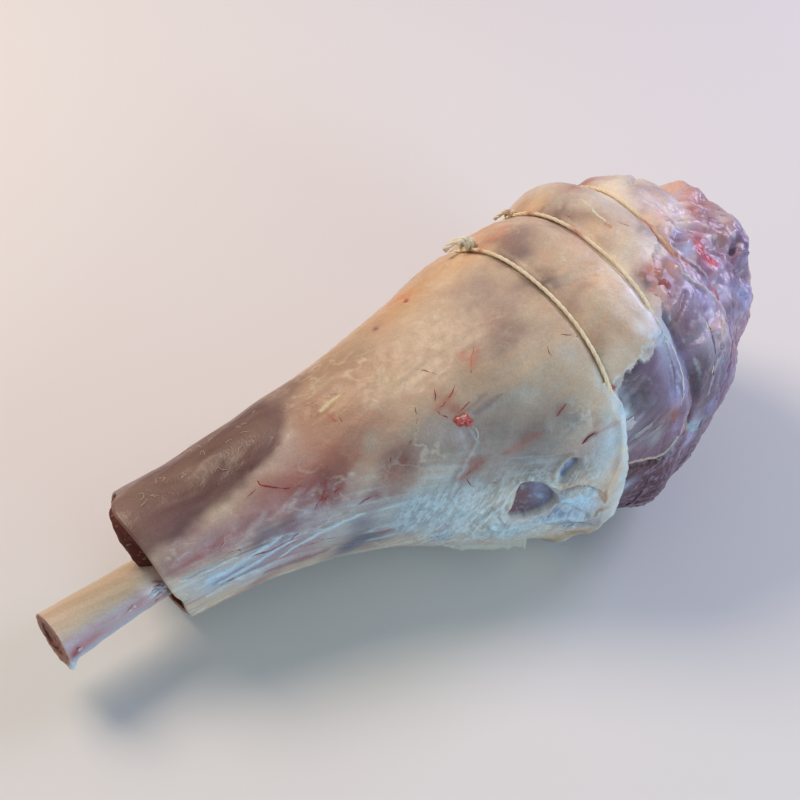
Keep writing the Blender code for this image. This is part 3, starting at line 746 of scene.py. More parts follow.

# Blood and bluish fibres under the shank's membrane, in the same columns; the last five rows, beside the torn hole, are
# painted highlights and painted shade on its folds.
BLUSHES_AND_FOLD_LIGHT = (
    (-151, 39, 7, 5, "#8E5C5A", 0.6), (-144, 31, 8, 5, "#90666A", 0.5), (-134, 40, 7, 4, "#985F5C", 0.5),
    (-115, 50, 9, 6, "#92605A", 0.65), (-107, 45, 9, 5, "#96605A", 0.6), (-104, 57, 8, 5, "#985E54", 0.55),
    (-112, 63, 6, 4, "#9C6C58", 0.45), (-99, 37, 8, 4, "#8A5650", 0.65), (-91, 33, 7, 5, "#864840", 0.65),
    (-84, 28, 6, 4, "#A07A76", 0.6), (-90, 45, 6, 6, "#74403A", 0.55), (-79, 51, 7, 6, "#7C4A42", 0.55),
    (-84, 89, 8, 7, "#A0765F", 0.55), (-76, 83, 9, 7, "#A07458", 0.55), (-110, 31, 7, 3, "#7C5654", 0.5),
    (-102, 25, 7, 4, "#9A8080", 0.6), (-93, 19, 8, 5, "#A89C9C", 0.6), (-85, 13, 8, 5, "#AEA096", 0.6),
    (-111, 15, 8, 4, "#907E86", 0.5), (-102, 7, 8, 5, "#9C7C7C", 0.6), (-93, 1, 8, 6, "#A08480", 0.6),
    (-120, 5, 8, 4, "#94868C", 0.6), (-111, -6, 9, 5, "#A47C7A", 0.6), (-101, -16, 9, 5, "#84686E", 0.5),
    (-138, 4, 8, 5, "#96BCD4", 0.5), (-120, 24, 7, 3, "#665C68", 0.5), (-119, -24, 9, 6, "#8C5A60", 0.6),
    # From (8.5, -2) on: painted highlights and painted shade on the folds beside the torn hole.
    (-122, 58, 6, 4, "#9C7664", 0.4), (-70, 126, 10, 8, "#86604E", 0.7), (8.5, -2, 5, 3, "#90C0E0", 0.6),
    (13, 2, 4, 2.5, "#94B8D0", 0.5), (15.5, -6, 4, 3, "#A0B8D0", 0.5), (3, 0, 3, 2, "#6E7A8C", 0.6),
    (-2, -2, 3, 4, "#6C7894", 0.4),
)
# Finer turns of tone in the fat: along, angle, reach, colour.
TONES = (
    (65, 118, 4, "#C8C0B0"), (58, 129, 4, "#DCB08A"), (59, 122, 4, "#9A7466"), (61, 113, 4, "#80645C"),
    (66, 105, 4, "#A48A78"), (39, 132, 5, "#CC8450"), (58, 106, 4, "#CCB0A0"), (65, 97, 4, "#DCC4A4"),
    (35, 145, 5, "#94603C"), (28, 122, 5, "#B88068"), (31, 114, 6, "#8C6C60"), (55, 96, 4, "#D8B4A0"),
    (18, 127, 5, "#E6C09A"), (22, 118, 4, "#D4C4A8"), (28, 106, 5, "#826C66"), (12, 142, 6, "#DA9C60"),
    (27, 95, 5, "#9E8674"), (31, 91, 4, "#A0866E"), (1, 118, 5, "#DCC4A4"), (22, 91, 5, "#84706A"),
    (26, 86, 5, "#826C64"), (36, 79, 5, "#B09080"), (-12, 131, 7, "#D48C50"), (27, 77, 5, "#A08070"),
    (25, 72, 4, "#A08470"), (-6, 84, 5, "#A88C7C"), (2, 78, 6, "#90786C"), (-3, 73, 5, "#8E746C"),
    (27, 58, 4, "#A0806A"), (-51, 130, 6, "#AA8460"), (-47, 109, 7, "#A08C78"), (-29, 83, 5, "#B09680"),
    (-6, 68, 5, "#988478"), (16, 59, 5, "#C4BCB4"), (25, 54, 3, "#A09084"), (-58, 118, 9, "#A08064"),
    (-54, 100, 9, "#A88468"), (-48, 84, 5, "#B49A7C"), (-6, 48, 5, "#B4AEA4"), (-89, 109, 5, "#A4866C"),
    (-84, 104, 6, "#947664"), (-77, 94, 8, "#A07458"), (-68, 88, 6, "#A8805C"), (-32, 53, 3, "#A8604C"),
    (3, 41, 6, "#847872"), (-41, 47, 6, "#B0A098"), (-6, 37, 5, "#7C6A62"), (6, 36, 4, "#7C7472"),
    (15, 32, 4, "#B08E78"), (-34, 41, 5, "#ACA0A0"), (-57, 38, 6, "#7C5046"), (-63, 33, 6, "#885E54"),
    (-60, 27, 6, "#94705E"), (9, 22, 6, "#987C76"), (-11, 34, 4, "#70524C"), (-30, 25, 5, "#8C5E50"),
    (-24, 21, 6, "#94847C"), (-36, 19, 5, "#908078"), (10, 15, 4, "#7A6A60"), (-22, 13, 5, "#908478"),
    (5, 10, 4, "#70747A"), (-4, 9, 4, "#70747A"), (-100, 43, 5, "#8C504C"), (-89, 33, 5, "#7A3832"),
    (-111, 47, 4, "#B08680"), (-123, 45, 5, "#AA8884"), (-106, 28, 4, "#7A4E4C"), (-100, 25, 4, "#A49898"),
    (4, -9, 5, "#5C7CA4"), (9, -13, 5, "#6C707C"), (17, -17, 4, "#6C727C"), (-2, -11, 4, "#7888A0"),
    (37, -32, 5, "#7CA8D0"), (-144, 54, 5, "#9C8488"), (-140, 48, 4, "#B49A90"), (-128, 41, 4, "#B09490"),
    (-120, 30, 4, "#685860"), (-88, 3, 5, "#ACAAA8"), (-39, -23, 6, "#7CA4BC"), (-135, 35, 4, "#A88A8C"),
    (-115, 7, 5, "#8E6C78"), (-78, -23, 6, "#54566A"), (-33.5, 119, 2, "#7C4C60"), (14.5, -16, 5, "#606870"),
    (31, 143, 4, "#A87048"), (23.5, 48, 4, "#CCC4BC"), (-76, 4, 5, "#70707C"), (-66, 54, 5, "#A8A090"),
)
# Darker places in the muscle that the shank's membrane covers, in the columns of PATCHES.
SHANK_MUSCLE = (
    (-119, 92, 14, 12, "#54302A", 0.85), (-128, 106, 13, 10, "#5C3A2E", 0.75), (-131, 90, 8, 6, "#54322A", 0.7),
    (-110, 104, 9, 9, "#6A4A3E", 0.5), (-98, 92, 9, 8, "#7A5E52", 0.4), (-146, 92, 9, 7, "#6A4A40", 0.5),
    (-116, 81, 6, 4, "#4E2828", 0.7), (-120, 130, 14, 9, "#6A4434", 0.7), (-111.5, 92, 7, 6, "#5A302C", 0.6),
    (-156, 83, 3, 6, "#5E342C", 0.6), (-134, 112, 16, 2.4, "#84685A", 0.5), (-124, 100, 18, 1.8, "#7E6254", 0.5, 3),
    (-140, 82, 12, 1.6, "#7C5E58", 0.4),
)

# %% Patches on the bare meat
# On the muscle below the cap of fat, in the columns of PATCHES.
MEAT_PATCHES = (
    (38, 45, 7, 5, "#3E2830", 0.9), (36, 33, 9, 8, "#3A2630", 0.95), (71, 27, 3, 9, "#4A3640", 0.8, 20),
    (88, 20, 7, 6, "#64505C", 0.6), (46, 30, 12, 8, "#685868", 0.7, 30), (55, 40, 8, 8, "#8E829C", 0.8, 30),
    (58, 47, 4, 6, "#A89EB8", 0.7), (50, 21, 9, 4, "#7E6058", 0.6, 30), (59, 21, 3.2, 9, "#8C4A3A", 0.95, 12),
    (63, 27, 3, 5, "#96584A", 0.8, 12), (74, 9, 2.8, 3.4, "#BC6434", 0.95, 10), (44, 15, 8, 4, "#80726E", 0.7, 10),
    (56, 6, 12, 4, "#745C6C", 0.6, 10), (42, -3, 8, 4, "#4A2429", 0.8), (84, -12, 10, 7, "#74566C", 0.7),
    (92, -30, 14, 12, "#664A5E", 0.7),
)
# Thin silverskin left on the muscle, in streaks: along, angle, reach along, reach round, turn.
SILVERSKIN = (
    (33, 27, 5, 4, 20), (38, 21, 7, 2.5, 25), (45, 16, 8, 2.5, 25), (31, 20, 3, 4, 0), (34, 12, 5, 2, 10),
    (40, 31, 5, 1.5, 30),
)
# Patches over the rump end, fat and meat alike, in the columns of PATCHES. The pale blue and lilac ones are partly the
# meat's own tone and partly a painted sheen of the cool light.
RUMP_PATCHES = (
    (89, 119, 5, 5, "#F4E8CC", 0.7), (100, 107, 4, 4, "#A08486", 0.6), (126, 95, 4, 4, "#C8706A", 0.6),
    (69, 100, 5, 5, "#A88868", 0.6), (99.5, 90, 4, 4, "#F6C6C2", 0.7), (116, 77, 4, 4, "#B4A2CE", 0.7),
    (60, 91, 5, 6, "#B08A70", 0.6), (88, 79, 3.5, 4, "#DCD2D2", 0.8), (138, 64, 4, 4, "#74587A", 0.6),
    (89, 72, 3.5, 3, "#824A50", 0.7), (63, 73, 4, 4, "#805A5A", 0.7), (121, 57, 5, 4, "#8A5A78", 0.6),
    (69.5, 64, 3, 3, "#A05048", 0.8), (95, 58, 4, 4, "#C0BAEC", 0.7), (65.5, 60, 3.5, 3, "#E0B4A4", 0.8),
    (62, 56, 3, 3, "#A898A0", 0.7), (60, 52, 3, 3.5, "#DDE6F4", 0.8), (58, 48, 3, 3.5, "#D6E0F0", 0.8),
    (81, 41, 5, 4, "#BCAEA4", 0.7), (115, 22, 6, 5, "#B09CC4", 0.6), (53, 44, 4, 4, "#A898B0", 0.6),
    (59, 30, 4, 3, "#AEA8D4", 0.6), (63, 13, 3, 4, "#A08AB0", 0.4), (85, 7, 4, 4, "#C4C8E4", 0.7),
    (74, 5, 4, 3, "#A8889C", 0.6), (92, 136, 6, 8, "#A06050", 0.8), (95.5, 65, 4, 3, "#7A5A68", 0.6),
    (140, 64, 3, 3, "#6E5678", 0.6), (164, 35, 8, 5, "#C4ACD0", 0.6), (66, 50, 6, 4, "#7C6A74", 0.8),
    (78, 50, 7, 5, "#87747F", 0.8), (76, 41, 6, 6, "#9288A0", 0.7), (73, 30, 8, 7, "#665868", 0.85),
    (74, 16, 6, 5, "#8A7686", 0.6), (84, 26, 5, 5, "#8C7E8C", 0.7), (73, 60, 4, 4, "#9C8088", 0.7),
    (65, 68, 4, 4, "#BC8A80", 0.7), (86, 62, 6, 4, "#A89EC0", 0.8), (91, 54, 5, 6, "#ACA4C8", 0.85, 20),
    (88, 40, 5, 5, "#AA9EA8", 0.7), (97, 30, 5, 6, "#867C94", 0.8), (98, 41, 4, 4, "#C0A69C", 0.8),
    (84, 82, 5, 5, "#CDBFB8", 0.7), (96, 79, 4, 4, "#988EB2", 0.8), (96, 73, 3, 4, "#C4A8B4", 0.8),
    (92, 69, 4, 3, "#B89CA8", 0.7), (82, 68, 4, 4, "#C69A92", 0.8), (94, 92, 6, 5, "#D8C4B8", 0.8),
    (104, 94, 6, 5, "#DCCAC0", 0.8), (112, 90, 5, 5, "#D6BEB4", 0.8), (96, 87, 4, 3, "#DCB2A0", 0.8),
    (103, 57, 4, 4, "#B08CA6", 0.7), (105, 49, 4, 5, "#B090B0", 0.8), (107, 81, 4, 4, "#C08E90", 0.7),
    (116, 83, 5, 4, "#C4A8AE", 0.8), (124, 91, 5, 4, "#B27478", 0.9), (121, 98, 4, 4, "#DCB8A8", 0.8),
    (131, 100, 5, 5, "#C48C82", 0.8), (136, 92, 5, 4, "#B48086", 0.9), (131, 83, 5, 4, "#B48C9A", 0.8),
    (141, 78, 6, 6, "#C8B8B6", 0.95), (131, 74, 5, 3, "#B89894", 0.9), (143, 70, 5, 5, "#A89CBC", 0.9),
    (123, 69, 4, 3, "#94748E", 0.8), (117, 70, 4, 3, "#B090A4", 0.7), (116, 64, 4, 3, "#9C82A2", 0.7),
    (133.5, 66, 3.4, 2.0, "#6A4860", 0.95, 30), (130, 57.5, 3.2, 1.8, "#7C546C", 0.95, 20),
    (126, 62, 5, 1.5, "#B8A4C0", 0.8), (138, 62, 4, 2.5, "#A2A0C8", 0.8), (117, 53, 5, 4, "#8E84A8", 0.8),
    (125, 51, 4, 4, "#847A9C", 0.7), (130, 45, 5, 5, "#9298C2", 0.85), (136, 49, 3, 3, "#A06888", 0.8),
    (137, 32, 5, 6, "#9C6480", 0.85), (118, 34, 5, 5, "#94607A", 0.7), (109, 46, 3, 3, "#B898B4", 0.8),
    (111, 39, 4, 3, "#AC787C", 0.8), (104, 22, 6, 6, "#746078", 0.7), (111, 14, 8, 7, "#785870", 0.7),
    (128, 20, 10, 10, "#846480", 0.6), (89, 112, 5, 6, "#EEE0C6", 0.8), (90, 103, 5, 5, "#E2D6C8", 0.8),
    (134, 112, 5, 6, "#E8B8A2", 0.9), (117, 97, 5, 5, "#E4DADE", 0.9), (99, 91, 4, 4, "#F0C4BC", 0.8),
    (107, 88, 4, 4, "#E0D0CA", 0.8), (122, 82, 4, 5, "#8E6E82", 0.9), (92, 84, 3, 3, "#B4887E", 0.8),
    (100, 82, 3, 3, "#949ECC", 0.8), (124, 74, 4, 5, "#967472", 0.9), (132, 72, 4, 4, "#A07C86", 0.9),
    (141, 69, 4, 4, "#9484A8", 0.9), (138, 63, 4, 3, "#64486A", 0.9), (88, 79, 3, 3, "#DACCC8", 0.8),
    (160, 95, 8, 14, "#C8869C", 0.8), (89, 72, 3, 3, "#7E5058", 0.9), (96, 69, 3, 3, "#987C88", 0.8),
    (106, 67, 3, 4, "#B8647C", 0.9), (124, 62, 4, 3, "#846478", 0.9), (100, 62, 4, 3, "#846C88", 0.8),
    (121, 57, 4, 3, "#84647E", 0.8), (85, 60, 5, 4, "#8E82A4", 0.8), (76, 62, 4, 3, "#947684", 0.8),
    (106, 55, 3, 3, "#C49CC0", 0.8), (96, 42, 4, 4, "#CCB6C2", 0.8), (110, 39, 4, 4, "#949AC0", 0.8),
    (78, 32, 6, 6, "#4A3C4C", 0.9), (80, 26, 5, 5, "#4E3E50", 0.8), (91, 34, 5, 4, "#766678", 0.8),
    (64, 40, 3, 7, "#A69CC0", 0.7, 20), (65, 29, 3, 6, "#A49AC0", 0.7, 20), (69, 17, 4, 5, "#A48CA8", 0.7, 20),
)

# Finer turns of tone on the rump and the muscle: along, angle, reach, colour. The pale bluish and lilac ones are partly
# the meat's own tone and partly a painted sheen of the cool light.
RUMP_TONES = (
    (64, 70.5, 3, "#7E5850"), (71, 65.5, 2.6, "#B45C5E"), (81.5, 68, 4, "#CFA092"), (93.5, 88, 4, "#DAB4A2"),
    (131, 100, 4.5, "#CE8E86"), (91, 42, 3.4, "#CDAAA4"), (87.5, 112, 4, "#EEDCCC"), (102, 103, 4, "#EED6CC"),
    (128, 106, 4, "#DACCD8"), (134, 101, 3.5, "#DCAAA4"), (119, 91, 4, "#C47C72"), (89.5, 94, 3.5, "#E4CCB4"),
    (108, 88, 4, "#E0D2CC"), (124, 81, 3.2, "#9A6A6C"), (131.5, 80, 3.2, "#DAC4C4"), (65.5, 96, 4, "#E0C4A4"),
    (83, 88, 3, "#94807F"), (115.5, 81, 3, "#CCA0AA"), (123, 77.5, 3, "#CCAABC"), (128.5, 74, 2.6, "#98706A"),
    (97, 79, 3.2, "#8A6474"), (110.5, 75, 3, "#B84A58"), (138, 66, 3, "#7F5470"), (79, 78, 3.2, "#E2D0B8"),
    (86, 76, 2.8, "#E8CCC6"), (100, 73, 3.2, "#CCC0DC"), (133.5, 65, 3.4, "#A888A0"), (58, 83, 4, "#DCCCB4"),
    (75, 75, 3.2, "#D8A48C"), (86.5, 70, 3.2, "#8A5654"), (110.5, 65, 2.8, "#964E5C"), (117, 62, 3.2, "#BCA8C6"),
    (130, 62, 3, "#86566A"), (59, 78, 3, "#ECDCCC"), (71, 72, 3, "#CC7A60"), (97, 63, 3.2, "#806478"),
    (105, 62, 3, "#B094AE"), (58.5, 71, 3, "#CCC6C8"), (61.5, 69, 3, "#785C5A"), (71, 66, 3.2, "#944E4C"),
    (77.5, 65, 3, "#9C7A84"), (86.5, 62, 3.2, "#A090A6"), (111.5, 55, 3.6, "#766486"), (75.5, 60, 3.2, "#967070"),
    (111.5, 50, 3.8, "#D4C0E0"), (131.5, 46, 4, "#A8A2CE"), (86, 54, 3.6, "#8C7482"), (117.5, 44, 3.6, "#70586C"),
    (127.5, 43, 3.6, "#8C7690"), (119, 40, 3.4, "#746E90"), (61.5, 53, 3, "#C4C4D0"), (72, 51, 3.6, "#6A4E58"),
    (86, 44, 3.6, "#B6ACCC"), (60, 49, 3, "#C2C8DC"), (77, 45, 3.6, "#928480"), (72, 37, 3.6, "#705858"),
    (24.5, 49, 3, "#BCB8B0"), (22.5, 46, 3, "#D0C2B4"), (35.5, 40, 4, "#685450"), (71, 30, 3.8, "#5E4E50"),
    (87, 27, 3.8, "#5E445A"), (25.5, 40, 3, "#D6DEE6"), (29.5, 38, 2.6, "#585860"), (44, 32, 4.5, "#6C5466"),
    (67, 28, 3, "#80586A"), (38, 31, 4.5, "#58424A"), (59.5, 26, 3, "#A490AA"), (96, 13, 4, "#9090B8"),
    (72, 14, 2.6, "#A0849C"), (88, 9, 3.6, "#705C68"), (19.5, 30, 3.4, "#C0CCD4"), (46, 19, 4, "#6C5258"),
    (66, 10, 2.6, "#A088A4"), (78.5, 7, 2.8, "#B0604E"), (18.5, 25, 3.4, "#BECED8"), (25.5, 23, 3, "#C6DAE8"),
    (35.5, 18, 3.6, "#504E58"), (49, 13, 3.6, "#94949A"), (69.5, 4, 3, "#A48CB0"), (85.5, -2, 3.6, "#B6A4C8"),
    (76, 120, 6, "#A87266"), (27.5, 32, 3, "#D4E4E4"), (56.5, 69, 3.6, "#F0E6E6"), (40, -11, 4, "#A8B4CC"),
    (86, 72, 3, "#C4AECA"), (58.5, 109, 5, "#8C6E5A"), (123.5, 80, 3, "#8A6070"), (96, 65, 3.4, "#806070"),
    (87, 5, 3.6, "#ACB0C4"), (86, 81, 3, "#E8DACE"), (66.5, 55, 2.2, "#6A545A"), (137.5, 63, 3.4, "#6C5880"),
)

# %% Blood, veins and fibres
# Strokes: colour, width, strength, then places (along, angle).
STROKES = (
    ("#A06258", 1.6, 0.35, ((-113, 62), (-107, 51), (-96.5, 43))),
    ("#8C2E26", 1.3, 0.6, ((-88, 42), (-89, 36), (-91.5, 31), (-95, 28))),
    ("#8E3028", 1.6, 0.5, ((-91, 32), (-84, 34), (-80, 38))), ("#A8503A", 1.6, 0.5, ((-74, 82), (-73.5, 75))),
    ("#A2584A", 1.6, 0.35, ((-68, 61), (-72.5, 52), (-76.5, 45))),
    ("#8A3028", 1.2, 0.5, ((-77, 20), (-72, 22), (-67, 21))), ("#94504A", 2.0, 0.4, ((-64, 20), (-58, 18))),
    ("#8C4440", 2.2, 0.4, ((-69, -6), (-62, -10))), ("#C0644C", 2.0, 0.45, ((-13.5, 76), (-17, 72), (-20, 68))),
    ("#C0644C", 1.8, 0.4, ((-18, 77), (-21, 73))), ("#B0604C", 1.6, 0.45, ((-30, 61), (-35, 58), (-39, 56))),
    ("#74686C", 1.4, 0.6, ((-15.5, 53), (-21, 51), (-26.5, 49))),
    ("#7A6E72", 1.0, 0.5, ((-20, 56), (-25, 53), (-29, 51))), ("#96564A", 2.2, 0.5, ((-6, 34), (-14.5, 30), (-20, 28))),
    ("#8E4A42", 1.8, 0.55, ((-28, 27), (-33, 23), (-37.5, 19))), ("#8E4036", 1.6, 0.45, ((1, 39), (4, 41), (6.5, 42))),
    ("#6E1E1E", 1.2, 0.6, ((9, 26), (12, 28), (15, 29))), ("#B07C74", 0.9, 0.5, ((15, 29), (20, 31), (24, 32))),
    ("#A02A28", 1.1, 0.85, ((25.5, 44), (26.5, 42))), ("#6A3A3C", 1.2, 0.8, ((-34, 119), (-33, 119))),
    ("#7C3A34", 1.6, 0.5, ((-58, 37), (-55, 37))), ("#A06050", 3.0, 0.4, ((-66, 34), (-58, 30))),
    ("#B86A4C", 1.0, 0.6, ((68.5, 97), (69, 94))),
    ("#8C5048", 3.0, 0.55, ((-154, 34), (-142, 36), (-128, 38), (-118, 42))),
    ("#A04A44", 1.6, 0.4, ((-150, 35), (-138, 37), (-126, 39))),
    ("#8A4250", 1.2, 0.5, ((-142, 4), (-134, 6), (-128, 8))),
    ("#7C4A54", 1.6, 0.6, ((-118, -12), (-106, -14), (-96, -16), (-88, -14))),
    ("#6E5A66", 1.8, 0.4, ((-122, 26), (-110, 25), (-98, 23))),
    ("#D9CDA0", 1.0, 0.75, ((-76, 86), (-71, 90), (-66, 90))),
    ("#C6D6E0", 0.8, 0.7, ((-144, 12), (-134, 12), (-122, 15), (-110, 18))),
    ("#BFD4E0", 0.9, 0.7, ((-140, 2), (-126, 4), (-114, 8), (-104, 10))),
    ("#C2DCE6", 0.8, 0.7, ((-112, -2), (-98, 6), (-86, 10), (-74, 12))),
    ("#D43A44", 1.8, 0.8, ((105, 77), (107, 72), (110, 66), (114, 62))),
    ("#D06A6A", 1.4, 0.6, ((102, 66), (104, 58), (106, 50))), ("#B8484C", 1.6, 0.7, ((108, 48), (108, 42))),
    ("#D0B4B0", 1.0, 0.6, ((84, 68), (92, 60), (99, 54), (105, 48), (109, 42))),
    ("#A87050", 1.2, 0.6, ((89, 84), (90, 78), (91, 72), (92, 66))),
    ("#C8B49C", 0.8, 0.85, ((73, 15), (75, 9), (71, 4), (64, 1), (57, 0), (46, 2), (35, 5))),
    ("#C9B8B4", 0.8, 0.6, ((84, 22), (89, 30), (93, 34), (99, 36))), ("#9C6E50", 0.8, 0.7, ((17.5, 1), (21, -5))),
    ("#A87856", 0.9, 0.7, ((20, 2), (21.5, -5))), ("#A87856", 0.8, 0.6, ((26, -10), (22, -8), (18, -12))),
    # The next five strokes follow the relief: the dark grey one lies in a crease as painted shade, the pale blue ones
    # lie on ridges as painted highlights.
    ("#7C7880", 0.7, 0.8, ((-0.5, 6), (3, 3), (8.5, 5), (12.5, 5), (17, 2))),
    ("#C9DCE6", 0.45, 0.3, ((-30, 43), (-29, 36), (-34.5, 28), (-39, 16), (-39.5, 10), (-36, 1))),
    ("#C4DAE6", 0.6, 0.5, ((-13, 12), (-17, 7), (-19, 0), (-19, -7), (-16, -13), (-8, -12), (0, -11))),
    ("#C4DAE4", 0.5, 0.5, ((-20.5, 0), (-23, -6), (-26.5, -9), (-28, -18), (-24, -28))),
    ("#B8D0DC", 1.6, 0.6, ((-16, -18), (-10, -15), (-1, -13), (7, -11), (15, -14))),
)
TONE_STRENGTH = 0.7


def plain(points, code):
    """One colour for every point."""
    return np.zeros_like(points) + linear(code)


def tint(colours, mask, code):
    """Moves colours towards one colour: c + (target - c) * mask."""
    return colours + (linear(code) - colours) * np.clip(mask, 0, 1)[..., None]


def mottle(colours, points, *rows):
    """Clouds of colour in turn: limits, size, seed, strength or mask, colour and, if not 3, count of layers."""
    for low, high, size, seed, strength, code, *count in rows:
        colours = tint(colours, smooth_steps(low, high, layers(points, size, seed, *count)) * strength, code)
    return colours


def tint_spots(colours, place, rows, power=1.0):
    """Soft spots in turn, as PATCHES gives them: spot ^ power * strength."""
    for along, angle, reach, reach_round, code, strength, *turn in rows:
        colours = tint(colours, spot(place, along, angle, reach, reach_round, *turn) ** power * strength, code)
    return colours


def tint_tones(colours, place, rows, power=1.0):
    """Round spots of one strength in turn, as TONES gives them."""
    rows = [(along, angle, reach, reach, code, TONE_STRENGTH) for along, angle, reach, code in rows]
    return tint_spots(colours, place, rows, power)


# %% The painter
def shank_muscle_colours(place, stretched):
    """Brown-red muscle under membrane: streaks along the leg, a cooler band by the fascia, paler at the rim."""
    along, angle = place["along"], place["angle"]
    muscle = plain(place["points"], "#66463E")
    muscle = mottle(muscle, stretched, (-0.2, 0.9, 11.0, 66, 0.8, "#7C5E50", 2), (0.0, 0.9, 8.0, 67, 0.6, "#573840", 2))
    from_line = np.radians(angle - np.interp(along, *FASCIA_LINE.T)) * place["girth"]
    muscle = tint(muscle, np.exp(-(((from_line - 8) / 7) ** 2)) * 0.5, "#5E424A")
    muscle = tint(muscle, smooth_steps(-138, -156, along) * 0.6, "#84685A")
    muscle = tint(muscle, smooth_steps(120, 150, angle) * 0.4, "#856852")
    return tint_spots(muscle, place, SHANK_MUSCLE)


def bare_meat_colours(place):
    """The thigh's muscle: silky above, coarse and dark below, a painted bluish sheen in the holes, white film at the
    fat's edge.
    """
    points, along, angle = place["points"], place["along"], place["angle"]
    meat = plain(points, "#6E4E5A")
    meat = mottle(meat, points, (-0.3, 0.9, 16, 71, 0.7, "#836878"), (0.0, 0.9, 10, 72, 0.6, "#5E4450"))
    under_silky = np.radians(np.interp(along, *SILKY_EDGE.T) - angle) * place["girth"] + 0.6 * layers(points, 4, 23)
    lower_lobe = smooth_steps(-0.5, 2.5, under_silky) * smooth_steps(34, 40, along) * smooth_steps(100, 80, along)
    meat = tint(meat, lower_lobe * 0.85, "#4C2A33")
    meat = tint_spots(meat, place, MEAT_PATCHES)
    silky = smooth_steps(3, -1, under_silky)
    silver = sum(spot(place, *patch) for patch in SILVERSKIN)
    meat = mottle(meat, slanting(place, 6), (-0.3, 0.5, 1.9, 86, silver * 0.8, "#98A4A8", 2))
    silky_rows = (0.0, 1.0, 4.5, 75, silky * 0.5, "#98849A"), (0.0, 1.0, 3.2, 76, silky * 0.4, "#4E363E")
    meat = mottle(meat, slanting(place, 8), *silky_rows)
    grain = (1 - silky) * smooth_steps(40, 50, along)
    grain_noise = layers(slanting(place, 2.2), 1.3, 77, 2)
    meat = tint(meat, grain * smooth_steps(0.1, 0.8, grain_noise) * 0.6, "#9A8098")
    meat = tint(meat, grain * smooth_steps(0.0, 0.8, -grain_noise) * 0.5, "#4A2A30")
    in_hole = (along < 20) * 1.0
    # Towards one side the holes turn blue-grey, with pale bluish flecks: a painted sheen of the cool light.
    hole_sheen = smooth_steps(-11, -1, along + 0.25 * angle + 1.5 * layers(points, 6, 78))
    meat = tint(tint(meat, in_hole, "#6A4C52"), in_hole * hole_sheen * 0.9, "#7C86A0")
    meat = mottle(meat, points @ TUMBLE, (0.1, 0.8, 3, 88, in_hole * 0.5, "#A8B4C8"))
    film = torn_film(place)
    return mottle(tint(meat, film * 0.9, "#CDBFB2"), points, (0.0, 0.8, 3, 87, film * 0.6, "#9A9290"))


